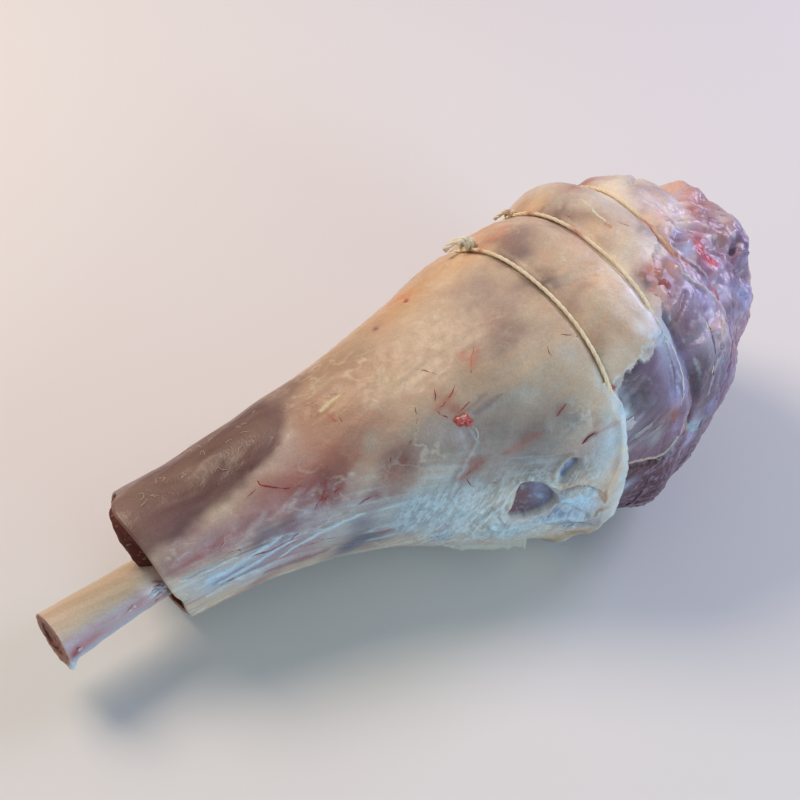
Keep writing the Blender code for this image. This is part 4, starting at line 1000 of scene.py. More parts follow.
def paint(place, fat=False):
    """Linear colours for places on the leg, and how wet they shine."""
    points, along, angle = place["points"], place["along"], place["angle"]
    stretched = np.stack([along / 10, place["arc"], 0 * along], -1)
    colours = mottle(
        plain(points, "#CBB399"), points,
        (-0.5, 1.2, 24, 61, 0.7, "#B89D86"), (-0.2, 1.1, 14, 62, 0.6, "#D8C6AA"), (0.1, 1.2, 9, 63, 0.35, "#C58F78"),
    )
    colours = tint(colours, smooth_steps(52, 66, along) * 0.7, "#D6CABC")
    colours = tint_spots(colours, place, PATCHES)
    fibrous = smooth_steps(46, 8, angle) * smooth_steps(190, 150, np.abs(angle))
    fibrous = fibrous * (1 - 0.6 * smooth_steps(-20, 24, along)) * (1 - 0.8 * crinkled(place))
    fibres = (0.0, 0.8, 2.2, 64, fibrous * 0.6, "#BCD6DC"), (0.1, 0.9, 3.0, 65, fibrous * 0.5, "#8A7E88")
    colours = mottle(colours, stretched, *fibres)
    colours = tint_spots(colours, place, BLUSHES_AND_FOLD_LIGHT)
    colours = tint_tones(colours, place, TONES)

    membrane = shank_membrane(place)
    colours += (shank_muscle_colours(place, stretched) - colours) * (membrane * 0.96)[..., None]
    bare = 0 * along if fat else bare_meat(place)
    colours += (bare_meat_colours(place) - colours) * bare[..., None]
    edge = 4 * bare * (1 - bare)
    colours = tint(colours, edge * 0.7 * smooth_steps(92, 80, along), "#D5D6CE")

    in_rump = smooth_steps(80, 92, along + 3 * layers(points, 7, 79)) * smooth_steps(28, 44, angle)
    in_rump = in_rump * smooth_steps(112, 100, angle - 0.3 * (along - 100))
    colours = tint(colours, in_rump * 0.8, "#B39CA2")
    rump_rows = (0.0, 0.9, 9, 74, in_rump * 0.6, "#D2BEB6"), (0.1, 0.9, 6, 80, in_rump * 0.5, "#8E7890")
    colours = mottle(colours, points, *rump_rows)
    colours = tint_spots(colours, place, RUMP_PATCHES, 0.5)
    colours = tint_tones(colours, place, RUMP_TONES, 0.7)
    # A fine cloud over the wet rump, painted pale where it is high and dark where it is low: painted glints and painted
    # shade.
    mottled = layers(points @ TUMBLE, 4.4, 89, 3)
    glint_and_shade_part = in_rump * smooth_steps(110, 86, angle)
    colours = tint(colours, glint_and_shade_part * smooth_steps(0.2, 0.9, mottled) * 0.5, "#E8DEE2")
    colours = tint(colours, glint_and_shade_part * smooth_steps(0.2, 0.9, -mottled) * 0.5, "#7A5464")

    # On thin crinkled tissue the crests of the wrinkles are painted pale blue and the hollows darker: painted highlight
    # and painted shade that follow the relief.
    fold = np.clip(crinkles(place) * 4.0, -1, 1)
    thin = crinkled(place) * (1 - bare)
    colours = tint(colours, smooth_steps(0.1, 0.9, fold) * thin * 0.4, "#C9E0E6")
    colours = tint(colours, smooth_steps(0.0, 0.8, -fold) * thin * 0.35, "#8C8078")
    waxy = smooth_steps(0.84, 0.98, 1 - np.abs(layers(points, 7, 84))) * (1 - bare) * (1 - membrane)
    waxy = waxy * smooth_steps(20, 40, angle)
    colours = mottle(colours, points, (-0.2, 0.7, 18, 85, waxy * 0.3, "#E2D8BE", 2))
    for code, width, strength, track in STROKES:
        colours = tint(colours, stroke(place, track, width) * strength, code)
    colours *= (1 + 0.05 * cloud(points, 1.6, 81) + 0.05 * cloud(points, 4, 82))[..., None]
    dull = spot(place, 37, 34, 10, 10)
    return np.clip(colours, 0.003, 1), np.clip(bare + 0.5 * membrane + 0.6 * fibrous, 0, 1) - 1.8 * dull * bare


# %% [markdown]
# ## From grids to meshes
# A grid of points becomes quads. Where it runs right round the leg its last column joins the
# first, and a ring at either end is closed by a fan to one point, so each piece is a closed shell.


# %% Meshes of grids
def grid_quads(grid, closed=False):
    """Corners of a grid's quads: the last column meets the first and, if closed, the last row the first."""
    rows, columns = grid.shape[:2]
    row = np.arange(rows if closed else rows - 1)[:, None]
    below, column = (row + 1) % rows, np.arange(columns)
    after = (column + 1) % columns
    corners = ((row, column), (row, after), (below, after), (below, column))
    return np.stack([r * columns + c for r, c in corners], -1).reshape(-1, 4)


def poled(values):
    """A grid's values as one row, with its first and last once more for the two poles."""
    values = values.reshape(-1, *values.shape[2:])
    return np.concatenate([values, values[:1], values[-1:]])


def shell(grid):
    """(points, quads, triangles) of a closed grid, its poles at the means of its end rings."""
    rows, columns = grid.shape[:2]
    points = np.concatenate([grid.reshape(-1, 3), grid[:1].mean(1), grid[-1:].mean(1)])
    ring = np.arange(columns)
    after, pole, last = (ring + 1) % columns, rows * columns, (rows - 1) * columns
    fans = [(0 * ring + pole, after, ring), (0 * ring + pole + 1, last + ring, last + after)]
    return points, grid_quads(grid), np.concatenate([np.stack(fan, -1) for fan in fans])


def torus(grid):
    """(points, quads, triangles) of a grid that closes both ways and so needs no poles."""
    return grid.reshape(-1, 3), grid_quads(grid, True), np.zeros((0, 3), int)


def join(parts):
    """Several (points, quads, triangles) as one, with the corners' numbers moved along."""
    starts = np.cumsum([0] + [len(part[0]) for part in parts])
    points, quads, triangles = ([part[k] for part in parts] for k in range(3))
    moved = [np.concatenate([faces + start for faces, start in zip(kind, starts)]) for kind in (quads, triangles)]
    return np.concatenate(points), *moved


def coloured(part, code, *rows):
    """A part and its colours: one colour, mottled by the rows."""
    return part, mottle(plain(part[0], code), part[0], *rows)


def join_coloured(pairs):
    """Several coloured parts as one."""
    parts, colours = zip(*pairs)
    return join(parts), np.concatenate(colours)


def new_piece(name, parts, colours, extra=None, material=None, slot="meat", replaces=()):
    """A smooth object at the origin, from the leg's millimetres, that rides on the root body."""
    points, quads, triangles = parts
    points = to_model(points) * MM
    corners = points[np.concatenate([quads[:, [0, 1, 2]], quads[:, [0, 2, 3]], triangles])]
    volume = np.einsum("ij,ij->i", corners[:, 0], np.cross(corners[:, 1], corners[:, 2])).sum() / 6
    if volume < 0:
        quads, triangles = quads[:, ::-1], triangles[:, ::-1]
    mesh = bpy.data.meshes.new(name)
    mesh.from_pydata(points.tolist(), [], quads.tolist() + triangles.tolist())
    mesh.shade_smooth()
    layer = mesh.color_attributes.new("paint", "FLOAT_COLOR", "POINT")
    full = np.concatenate([colours, np.ones((len(colours), 1))], 1)
    layer.data.foreach_set("color", full.astype(np.float32).ravel())
    for key, values in (extra or {}).items():
        layer = mesh.attributes.new(key, "FLOAT", "POINT")
        layer.data.foreach_set("value", np.asarray(values, np.float32))
    mesh.materials.append(material or lamb)
    piece = add_object(name, mesh)
    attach(piece, "root")
    if replaces:
        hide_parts(*replaces)
    print(f"{name}: {2 * len(quads) + len(triangles)} triangles, {abs(volume) * 1e6:.1f} ml")
    return piece


# %% [markdown]
# ## Raw lamb as a material
# Raw fat and muscle are soft, moist and slightly see-through: light enters, scatters a few
# millimetres and comes out warmer. On top lies a film of moisture, a thin clear coat with its own
# sharper gloss. Fine pores and fibres, too small for the mesh, are bump.


# %% Raw lamb
def ramp(tree, value, low, high, to_low, to_high):
    """A node output that goes from to_low to to_high while the value goes from low to high."""
    limits = dict(From_Min=low, From_Max=high, To_Min=to_low, To_Max=to_high)
    return add_node(tree, "ShaderNodeMapRange", {"Value": value}, **limits).outputs[0]


def attribute(tree, name):
    """The node that reads a named attribute of the mesh."""
    return add_node(tree, "ShaderNodeAttribute", attribute_name=name)


def noise(tree, place, scale, detail, **settings):
    """A noise texture's output: detail is its count of finer layers."""
    texture = add_node(tree, "ShaderNodeTexNoise", {"Vector": place}, Scale=scale, Detail=detail, **settings)
    return texture.outputs["Fac"]


def times_plus(tree, first, second, third):
    """first * second + third, where second is a number."""
    node = add_node(tree, "ShaderNodeMath", {0: first, 2: third}, operation="MULTIPLY_ADD")
    set_sockets(node, {1: second})
    return node.outputs[0]


def shaded(tree, painted, shade):
    """Painted colour times a number."""
    links = {0: painted.outputs["Color"], 1: shade}
    return add_node(tree, "ShaderNodeVectorMath", links, operation="MULTIPLY").outputs[0]


def raw_lamb(name, scatter, gloss, pore_size, coat):
    """Painted colour, scattering, moist coat; pores about pore_size mm across as bump."""
    material, tree, shader = new_tree_material(name)
    place = add_node(tree, "ShaderNodeTexCoord").outputs["Object"]
    painted = attribute(tree, "paint")
    fine, broad = noise(tree, place, 1 / (pore_size * MM), 4.0), noise(tree, place, 260.0, 3.0)
    wet, wrinkled = attribute(tree, "wet"), attribute(tree, "wrinkled")
    colour = shaded(tree, painted, ramp(tree, fine, 0.3, 0.7, 0.9, 1.06))
    rough = ramp(tree, broad, 0.3, 0.7, gloss - 0.08, gloss + 0.1)
    wetter = times_plus(tree, wet.outputs["Fac"], -0.16, rough)
    along_folds = dict(vector_type="TEXTURE", Rotation=(0.0, 0.37, 0.0), Scale=(1.0, 1.0, 6.0))
    drawn = add_node(tree, "ShaderNodeMapping", {"Vector": place}, **along_folds).outputs[0]
    folds = {0: noise(tree, drawn, 950.0, 2.0, Distortion=0.5), 1: wrinkled.outputs["Fac"]}
    creased = add_node(tree, "ShaderNodeMath", folds, operation="MULTIPLY").outputs[0]
    height = times_plus(tree, creased, 2.2, fine)
    bump = add_node(tree, "ShaderNodeBump", {"Height": height}, Strength=0.3, Distance=0.0006)
    wetness = add_node(tree, "ShaderNodeBump", {"Height": broad}, Strength=0.3, Distance=0.0012)
    # Crests of the fine folds mix towards pale blue-white: a painted highlight.
    pale = ramp(tree, creased, 0.48, 0.74, 0.0, 0.42)
    crest_highlight = add_node(tree, "ShaderNodeMix", {0: pale, 6: colour}, data_type="RGBA")
    set_sockets(crest_highlight, {7: (*linear("#D8EAEE"), 1)})
    for socket, output in (
        ("Base Color", crest_highlight.outputs[2]), ("Roughness", wetter),
        ("Normal", bump.outputs[0]), ("Coat Normal", wetness.outputs[0]),
    ):
        tree.links.new(output, shader.inputs[socket])
    scattering = {"Subsurface Weight": scatter, "Subsurface Radius": (1.0, 0.45, 0.25), "Subsurface Scale": 0.003}
    set_sockets(shader, scattering | {"IOR": 1.4, "Coat Weight": coat, "Coat Roughness": 0.22, "Coat IOR": 1.34})
    return material


lamb = raw_lamb("raw lamb, fat and muscle under a moist film", 0.22, 0.46, 0.9, 0.3)
bone_paint = raw_lamb("fresh bone with periosteum, sawn", 0.12, 0.42, 0.7, 0.25)
marrow_paint = raw_lamb("bone marrow, crumbled by the saw", 0.2, 0.55, 1.1, 0.15)
tendon = raw_lamb("torn connective tissue, moist", 0.35, 0.4, 0.6, 0.35)
cut_meat = raw_lamb("sawn muscle, dark and drying", 0.12, 0.7, 1.2, 0.0)

# %% [markdown]
# ## The four lengths of the leg
# The loops of twine divide the skin into the shank with its cap of fat, two bands, and the rump
# end. Each is its own closed shell, and their rims meet under the twine. Columns are close
# together on the top and front, where the marks are fine, and wider apart behind and below.

# %% Angles round the leg
FINE_FROM, FINE_TO, FINE_COLUMNS, COARSE_COLUMNS = -40, 145, 308, 132
fine_angles = np.linspace(FINE_FROM, FINE_TO, FINE_COLUMNS, endpoint=False)
ANGLES = np.concatenate([fine_angles, np.linspace(FINE_TO, FINE_FROM + 360, COARSE_COLUMNS, endpoint=False)])
print(f"{len(ANGLES)} columns, {np.diff(ANGLES).min():.2f} to {np.diff(ANGLES).max():.2f} degrees apart")


# %% Build the lengths
def leg_length(stations, inner_rings=()):
    """One shell from skin rings at the stations, closed inside the leg at both ends."""
    points, _, place = leg_surface(stations[:, None], ANGLES[None, :])
    colours, wet = paint(place)
    wrinkled = crinkled(place) * (1 - bare_meat(place))
    grid = np.concatenate([*inner_rings, points])
    extra = len(grid) - len(points)
    cut = tint(np.repeat(colours[:1], extra, 0), np.full((extra, len(ANGLES)), 0.6), "#6A4432")
    wet = np.concatenate([np.repeat(wet[:1], extra, 0), wet])
    wrinkled = np.concatenate([0 * wet[:extra], wrinkled])
    return shell(grid), poled(np.concatenate([cut, colours])), {"wet": poled(wet), "wrinkled": poled(wrinkled)}


first_loop, middle_loop, last_loop = LOOP_STATIONS
closing = RUMP_END + END_RUN * np.linspace(0, 0.985, 70)[1:]
BANDS = {
    "fat_band_one": np.linspace(first_loop, middle_loop, 90),
    "fat_band_two": np.linspace(middle_loop, last_loop, 80),
    "rump_end": np.concatenate([np.linspace(last_loop, RUMP_END, 130), closing]),
}
for name, stations in BANDS.items():
    new_piece(name, *leg_length(stations))

# %% [markdown]
# ## The shank's sawn end
# The saw went through skin, muscle and tendon. The skin's rim stands a little proud, the muscle
# has shrunk back inside it, and round the bone there is a hollow below where it has drawn away.

# %% Bone's line
# The bone's middle: along, across, up, radius.
BONE_LINE = np.array([
    (-207, -6, 32.5, 12.0), (-178, -1.5, 33, 11.2), (-151, 2.5, 33.5, 10.6), (-100, 6, 38, 10.0), (-40, 5, 47, 12.0),
], float)
BONE_TIP, BONE_END = BONE_LINE[0, 0], BONE_LINE[-1, 0]
BONE_SLANT, BONE_TURN, BONE_SLANT_LENGTH = -0.12, -0.1, 30
MARROW_PART, MARROW_END, MARROW_RECESS = 0.62, -60, 0.8


def bone_points(along, angle, reach_part=1.0, spread=0.0):
    """Circles round the bone's line: centre + r * (-cos, sin), the first ones leaning as sawn."""
    along, angle = (np.asarray(x, float) for x in np.broadcast_arrays(along, angle))
    y, z, radius = (smooth_row(BONE_LINE[:, 0], BONE_LINE[:, k], along) for k in (1, 2, 3))
    reach = radius * reach_part + spread
    turned = np.radians(angle)
    ring_y, ring_z = y - reach * np.cos(turned), z + reach * np.sin(turned)
    slanted = 1 - smooth_steps(BONE_TIP, BONE_TIP + BONE_SLANT_LENGTH, along)
    leans = BONE_SLANT * (ring_z - z) + BONE_TURN * (ring_y - y - radius)
    return np.stack([along + slanted * leans, ring_y, ring_z], -1)


def sawn_disc(along, angles, reach_part, parts):
    """Rings across the sawn bone: middle + (circle - middle) * part."""
    circle, middle = bone_points(along, angles, reach_part), bone_points(along, angles, 0.0)
    return middle + (circle - middle) * parts[:, None, None]


# %% Skin rim and socket
RIM_WIDTH, POCKET_DEPTH, CLEARANCE = 1.6, 15.0, 0.3
skin_rim, rim_out, _ = leg_surface(SHANK_END, ANGLES)
socket_ring = bone_points(SHANK_END + POCKET_DEPTH, ANGLES, spread=CLEARANCE)
inner_rim = skin_rim - rim_out * RIM_WIDTH
pocket = [bone_points(x, ANGLES, spread=CLEARANCE) for x in np.linspace(BONE_END + CLEARANCE, -140, 5)]
deep_rim = inner_rim + np.array([POCKET_DEPTH, 0, 0])
wall = [socket_ring + (deep_rim - socket_ring) * part for part in (0.0, 0.5, 1.0)]
edge_rings = [deep_rim * (1 - s) + inner_rim * s for s in (0.5, 1.0)]
edge_rings.append(inner_rim * 0.5 + skin_rim * 0.5 - np.array([0.5, 0, 0]))
inner_rings = [ring[None] for ring in (*pocket, *wall, *edge_rings)]
shank_stations = np.linspace(SHANK_END, -60, 86, endpoint=False)
cap_stations = np.concatenate([shank_stations, np.linspace(-60, first_loop, 126)])
new_piece("fat_cap", *leg_length(cap_stations, inner_rings), replaces=("meat",))

# %% Sawn muscle inside the rim
FACE_ROWS = 40
face_angles = np.linspace(0, 360, 400, endpoint=False)
outer, face_out, _ = leg_surface(SHANK_END, face_angles)
outer = outer - face_out * (RIM_WIDTH + 0.05)
inner = bone_points(SHANK_END, face_angles, spread=0.12)
inner[:, 0] += SHANK_SLANT * (inner[:, 2] - half_sizes(SHANK_END)[2]) + saw_wander(face_angles)
part = np.linspace(0, 1, FACE_ROWS)[:, None, None]
face = outer + (inner - outer) * part
HOLLOW_CENTRE, HOLLOW_SIZES, HOLLOW_DEPTH = np.array([1.0, 20.0]), np.array([14.0, 8.5]), 11.5
across = (face[..., 1:] - HOLLOW_CENTRE) / HOLLOW_SIZES
hollow = HOLLOW_DEPTH * np.sqrt(np.clip(1 - (across**2).sum(-1) + 0.12 * layers(face, 3, 91, 2), 0, 1))
bundles = 0.8 * layers(face, 8, 92) + 0.25 * layers(face, 2.6, 93, 2)
turned = angle_between(face_angles, 0)
# Up the front the muscle has drawn back from the skin; behind, it bulges out.
drawn_back = 9.5 * smooth_steps(-30, -5, turned) * smooth_steps(88, 58, turned) * smooth_steps(0, 0.3, part[..., 0])
bulge = 3.0 * np.sin(np.pi * part[..., 0] ** 0.5) * smooth_steps(85, 45, np.abs(angle_between(face_angles, 125)))
open_face = 0.1 + 0.7 * bundles - bulge + hollow + drawn_back
face[..., 0] += np.clip(open_face, -4, POCKET_DEPTH - 1.5)
back_face = outer + (inner - outer) * part[::-1] + np.array([POCKET_DEPTH - 0.4, 0, 0])
face_grid = np.concatenate([face, back_face[:: FACE_ROWS - 1]])
face_colours = mottle(
    plain(face_grid, "#5C302A"), face_grid,
    (-0.4, 0.9, 8, 94, 0.6, "#5C2C26"), (0.2, 0.9, 3.5, 95, 0.4, "#6E4236"), (0.1, 0.8, 5, 96, 0.6, "#3A1918"),
)
# Fine pale specks on the cut face: painted highlights of its wet surface.
face_colours = tint(face_colours, smooth_steps(0.55, 0.85, cloud(face_grid @ TUMBLE, 1.3, 99)) * 0.6, "#B08C80")
# Where the muscle has drawn back behind the rim the face is painted pale: painted light against the shade in that
# recess.
painted_light_recess = smooth_steps(1.5, 6.0, np.concatenate([drawn_back, 0 * drawn_back[:2]]))
face_colours = tint(face_colours, painted_light_recess * smooth_steps(70, 50, turned) * 0.9, "#C8AAA0")
face_colours[:1] = tint(face_colours[:1], np.array(0.6), "#7E5840")
set_sockets(cut_meat.node_tree.nodes["Principled BSDF"], {"Specular IOR Level": 0.15})
new_piece("shank_muscle", torus(face_grid), face_colours.reshape(-1, 3), None, cut_meat)

# %% [markdown]
# ## The shank bone
# Living bone is ivory to tan, under a clinging skin called periosteum that tears off in shreds.
# The saw leaves a dense ring round brown marrow, with a splintered lip where the bone broke free.


# %% Bone
def bone_piece():
    """Rings along the bone, over the sawn rim, and back down the bore, closed at both ends."""
    angles = np.linspace(0, 360, 160, endpoint=False)
    outside = np.concatenate([np.linspace(BONE_END, -134, 6), np.linspace(-132, BONE_TIP + 0.8, 150)])
    rings = bone_points(outside[:, None], angles[None, :])
    lengthwise = rings / np.array([14, 1, 1])
    away = unit(rings - bone_points(outside[:, None], angles[None, :], 0.0))
    rough = 0.12 * layers(lengthwise, 4.0, 101, 2) - 0.3 + 0.12 * cloud(rings, 14, 102)
    turned = angle_between(angles, 0)[None, :]
    grooved = smooth_steps(50, 20, turned) * smooth_steps(-100, -60, turned)
    rough = rough + grooved * 0.3 * layers(rings / np.array([5, 1, 1]), 1.8, 108, 2)
    burr = np.exp(-(((turned + 42) / 30) ** 2)) * smooth_steps(BONE_TIP + 6, BONE_TIP + 1.2, outside)[:, None]
    burr = burr * smooth_steps(-0.1, 0.4, layers(rings, 1.9, 107, 2))
    rings = rings + away * (rough + 3.0 * burr)[..., None]
    parts = np.array([0.985, 0.95, 0.9, 0.84, 0.78, 0.72, 0.67, 0.63])
    rim = sawn_disc(BONE_TIP, angles, 1.0, parts)
    saw_marks = 0.10 * np.sin(rim[..., 2] * 4.2) + 0.25 * layers(rim, 1.6, 103, 2)
    lip = 0.5 * np.exp(-(((parts - 0.93) / 0.05) ** 2))[:, None] * smooth_steps(0.2, 0.9, cloud(rim, 4, 104))
    rim[..., 0] += np.clip(0.45 + saw_marks - lip, 0.05, 2)
    bore = bone_points(np.linspace(BONE_TIP + 1.6, MARROW_END + 0.3, 8)[:, None], angles[None, :], MARROW_PART, 0.3)
    grid = np.concatenate([rings, rim, bore])
    turned = angle_between(np.broadcast_to(angles, grid.shape[:2]), 0)
    streaks = layers(grid / np.array([12, 1, 1]), 3.0, 105)
    colours = plain(grid, "#CBB49A")
    colours = tint(colours, smooth_steps(-0.3, 0.9, streaks) * 0.5, "#B59A7E")
    lower = smooth_steps(56, 28, turned + 7 * streaks) * smooth_steps(175, 150, np.abs(turned))
    colours = tint(colours, lower * 0.9, "#B4A0A6")
    colours = mottle(colours, grid / np.array([6, 1, 1]), (0.0, 0.8, 2.2, 106, lower * 0.7, "#B9848A"))
    along = grid[..., 0]
    # The bone is painted much lighter close to the skin's rim: painted light against the shade that the rim casts
    # there.
    painted_light_near_rim = smooth_steps(-170, -160, along + 4 * streaks)
    for mask, code in (
        # Pale blue along the underside: a painted reflection of the cool light.
        (smooth_steps(8, -22, turned + 6 * streaks) * lower * 0.85, "#A6B6CA"),
        (smooth_steps(-172, -158, along + 3 * streaks) * 0.45, "#C09A82"),
        # Painted light by the rim: ivory above, pinkish white below.
        (painted_light_near_rim * (1 - lower) * 0.9, "#F0DECA"),
        (painted_light_near_rim * lower * smooth_steps(4, 16, turned) * 0.85, "#EEDEDA"),
        (np.exp(-(((along + 195) / 9) ** 2) - (angle_between(turned, 12) / 16) ** 2) * 0.7, "#A87076"),
        (np.exp(-(((along + 201) / 2.6) ** 2) - (angle_between(turned, 2) / 13) ** 2) * 0.9, "#8E3840"),
    ):
        colours = tint(colours, mask, code)
    colours[: len(rings)] = tint(colours[: len(rings)], burr, "#D2E0E4")
    colours[len(rings) :] = linear("#B98E70")
    colours[len(rings) + 2 :] = linear("#8E5C4A")
    return shell(grid), poled(colours)


new_piece("sawn_bone", *bone_piece(), None, bone_paint, "bone", ("shank_bone",))


# %% Marrow
def marrow_piece():
    """A plug in the bore whose outer face is lumpy: rings shrink to the middle with noise on x."""
    angles = np.linspace(0, 360, 96, endpoint=False)
    deep_stations = np.linspace(MARROW_END, BONE_TIP + MARROW_RECESS + 1.5, 8)
    deep = bone_points(deep_stations[:, None], angles[None, :], MARROW_PART)
    rim = sawn_disc(BONE_TIP + MARROW_RECESS, angles, MARROW_PART, np.linspace(1, 0.03, 26))
    rim[..., 0] += np.clip(0.4 + 0.7 * layers(rim, 2.4, 111, 3), -0.4, 2)
    grid = np.concatenate([deep, rim])
    crumbs = (-0.2, 0.9, 2.0, 112, 0.6, "#6E3A32"), (0.2, 0.9, 1.5, 113, 0.6, "#B08068")
    return shell(grid), poled(mottle(plain(grid, "#8E5546"), grid, *crumbs))


new_piece("marrow_plug", *marrow_piece(), None, marrow_paint, "marrow", ("marrow",))

# %% [markdown]
# ## Butcher's twine
# Cotton twine is three strands twisted round each other, about 2 mm thick. Each strand is a tube
# whose centre circles the loop's path once per turn of a long, slack twist.


# %% Tubes and twisted twine
def path_frames(path, closed):
    """Unit ahead, side and other vectors at each point of a path, side lying nearest to X."""
    ahead = np.roll(path, -1, 0) - np.roll(path, 1, 0)
    if not closed:
        ahead[0], ahead[-1] = path[1] - path[0], path[-1] - path[-2]
    ahead = unit(ahead)
    guide = np.array([1.0, 0, 0]) if np.abs(ahead[:, 0]).max() < 0.93 else np.array([0.13, 0.31, 0.94])
    side = unit(guide - ahead * (ahead @ guide)[:, None])
    return ahead, side, np.cross(ahead, side)


def tube(path, radius, sides=8, closed=False):
    """(points, quads, triangles) of a round tube: path + r * (cos, sin) in the path's own frame."""
    path = np.asarray(path, float)
    radius = np.broadcast_to(radius, len(path))
    _, side, other = path_frames(path, closed)
    around = np.linspace(0, 2 * np.pi, sides, endpoint=False)
    ring = np.cos(around)[:, None] * side[:, None] + np.sin(around)[:, None] * other[:, None]
    grid = path[:, None] + radius[:, None, None] * ring
    return torus(grid) if closed else shell(grid)


STRAND_RADIUS, STRAND_OFFSET, TWIST_LENGTH = 0.52, 0.40, 13.0


def twisted(path, closed, strand=STRAND_RADIUS, offset=STRAND_OFFSET):
    """Three tubes that wind round a path: centre + offset * (cos, sin) of a phase growing with length."""
    step = np.linalg.norm(np.roll(path, -1, 0) - path, axis=1)
    travelled = np.concatenate([[0], np.cumsum(step)[:-1]])
    total = step.sum() if closed else travelled[-1]
    turns = max(1, round(total / TWIST_LENGTH))
    phase = 2 * np.pi * turns * travelled / total
    _, side, other = path_frames(path, closed)
    strands = []
    for start in (0, 2 * np.pi / 3, 4 * np.pi / 3):
        away = np.cos(phase + start)[:, None] * side + np.sin(phase + start)[:, None] * other
        strands.append(tube(path + offset * away, strand, 8, closed))
    return join(strands)


# %% Twine material
def cotton_twine():
    """Cream cotton: rough, slightly fuzzy, its fibres drawn as fine noise, with stains as painted."""
    material, tree, shader = new_tree_material("cotton butcher's twine, three-ply")
    place = add_node(tree, "ShaderNodeTexCoord").outputs["Object"]
    fibres = noise(tree, place, 2200.0, 3.0)
    colour = shaded(tree, attribute(tree, "paint"), ramp(tree, fibres, 0.3, 0.7, 0.82, 1.12))
    bump = add_node(tree, "ShaderNodeBump", {"Height": fibres}, Strength=0.5, Distance=0.0003)
    tree.links.new(colour, shader.inputs["Base Color"])
    tree.links.new(bump.outputs[0], shader.inputs["Normal"])
    set_sockets(shader, {"Roughness": 0.8, "Sheen Weight": 0.2})
    return material


twine = cotton_twine()

# %% Loops and knots
# For each loop: lift where it lies open, sink under fat, more sink in front, and how far it drifts along.
TWINE_LIES = {24: (1.75, 1.1, 0.5, 0.0), 58: (1.6, 1.5, 2.5, 3.6), 88: (1.2, 1.3, 0.5, 0.0)}
# For each loop's knot: angle, size and height.
KNOTS = ((128, 3.8, 1.0), (137, 2.8, 0.75), (150, 2.2, 0.8))
SMOOTHED = 25
# Blood on the twine: loop number, angle, reach in degrees.
TWINE_STAINS = ((0, 119, 1.5), (1, 99, 4.0), (1, 124, 2.0), (2, 74, 11.0), (2, 90, 5.0))


def string_path(loop, angles):
    """The groove's floor raised by the lift where the twine shows; below the finished skin where not."""
    open_lift, sink, front_sink, drift = TWINE_LIES[loop]
    stations = loop + drift * np.exp(-((angle_between(angles, 36) / 13) ** 2))
    turned = angle_between(angles, 60) + 60
    outward = unit(skin_points(stations, angles)[1])
    hidden = covered(loop, turned)[:, None]
    base = leg_base(stations, angles)
    lies_open = base + outward * open_lift
    rise = ((leg_surface(stations, angles)[0] - base) * outward).sum(-1)
    more = SMOOTHED // 2
    rise = np.convolve(np.concatenate([rise[-more:], rise, rise[:more]]), np.full(SMOOTHED, 1 / SMOOTHED), "valid")
    sink = sink + front_sink * smooth_steps(30, 20, turned)
    return lies_open + (base + outward * (rise - sink)[:, None] - lies_open) * hidden, outward


def knot_parts(path, outward, angles, knot_angle, size, height):
    """A tied knot: two round turns over the loop, a lump and two cut ends, all of the same twine."""
    at = int(np.argmin(np.abs(angle_between(angles, knot_angle))))
    centre, out = path[at], outward[at]
    round_leg = np.cross(out, (1.0, 0, 0))
    axes = np.stack([np.array([1.0, 0, 0]), round_leg, out * height])
    turn = np.linspace(0, 2 * np.pi, 40, endpoint=False)
    scale = size / 3.4
    parts = []
    for shift, tilt, reach in ((-1.4, 0.5, 2.5), (1.4, -0.4, 2.4), (0.1, 0.1, 2.8)):
        sideways = shift + tilt * np.cos(turn) + 0.5 * np.sin(2 * turn)
        ring = np.stack([sideways, reach * np.cos(turn), reach * 0.8 * np.sin(turn) + 2.4], -1)
        parts.append(twisted(centre + scale * ring @ axes, True, 0.64 * scale, 0.52 * scale))
    ends = (
        ((0, 0.5, 4.4), (-3.5, 1.6, 4.6), (-6.5, 2.3, 3.7), (-9.5, 2.8, 2.6)),
        ((1, -1.0, 4.4), (-2.5, -2.6, 5.0), (-5.0, -3.2, 5.0), (-7.0, -3.6, 4.2)),
    )
    for nodes in ends:
        nodes = np.array(nodes, float)
        steps = np.linspace(0, len(nodes) - 1, 26)
        bent = np.stack([smooth_row(np.arange(len(nodes)), nodes[:, k], steps) for k in range(3)], -1)
        parts.append(twisted(centre + scale * bent @ axes, False, 0.72 * scale, 0.56 * scale))
    return parts


for number, loop in enumerate(LOOP_STATIONS):
    angles = np.linspace(0, 360, 860, endpoint=False)
    path, outward = string_path(loop, angles)
    knot = knot_parts(path, outward, angles, *KNOTS[number])
    parts, colours = coloured(join([twisted(path, True), *knot]), "#EBDCBC", (-0.3, 0.9, 6, 121, 0.5, "#D4BD96"))
    turned = np.degrees(np.arctan2(parts[0][:, 2] - 62, -(parts[0][:, 1] + 4)))
    for stained, stain_angle, reach in TWINE_STAINS:
        if stained == number:
            mask = np.exp(-((angle_between(turned, stain_angle) / reach) ** 2))
            colours = tint(colours, mask * 0.75, "#B5624C")
    new_piece(f"twine_loop_{number + 1}", parts, colours, None, twine, "twine", (f"string_{number + 1}",))

# %% [markdown]
# ## The lip of fat
# Below the first loop the cap of fat ends in a thick rounded lip that overhangs the muscle and
# buries the twine. It is a slab whose section is a loop: over the top, round the edge, back below.

# %% Lip
# The lip's edge: along, angle.
LIP_EDGE = np.array([
    (24, 46), (25.5, 41), (27, 37), (27.5, 32), (27.5, 27), (27.5, 21), (28.5, 16), (29.5, 9), (30.5, 1), (31, -8),
    (31, -19), (31, -30), (29.5, -45), (26, -62), (24, -70),
], float)
LIP_FROM, LIP_ROUND, LIP_THICK = 9.0, 1.5, 3.6


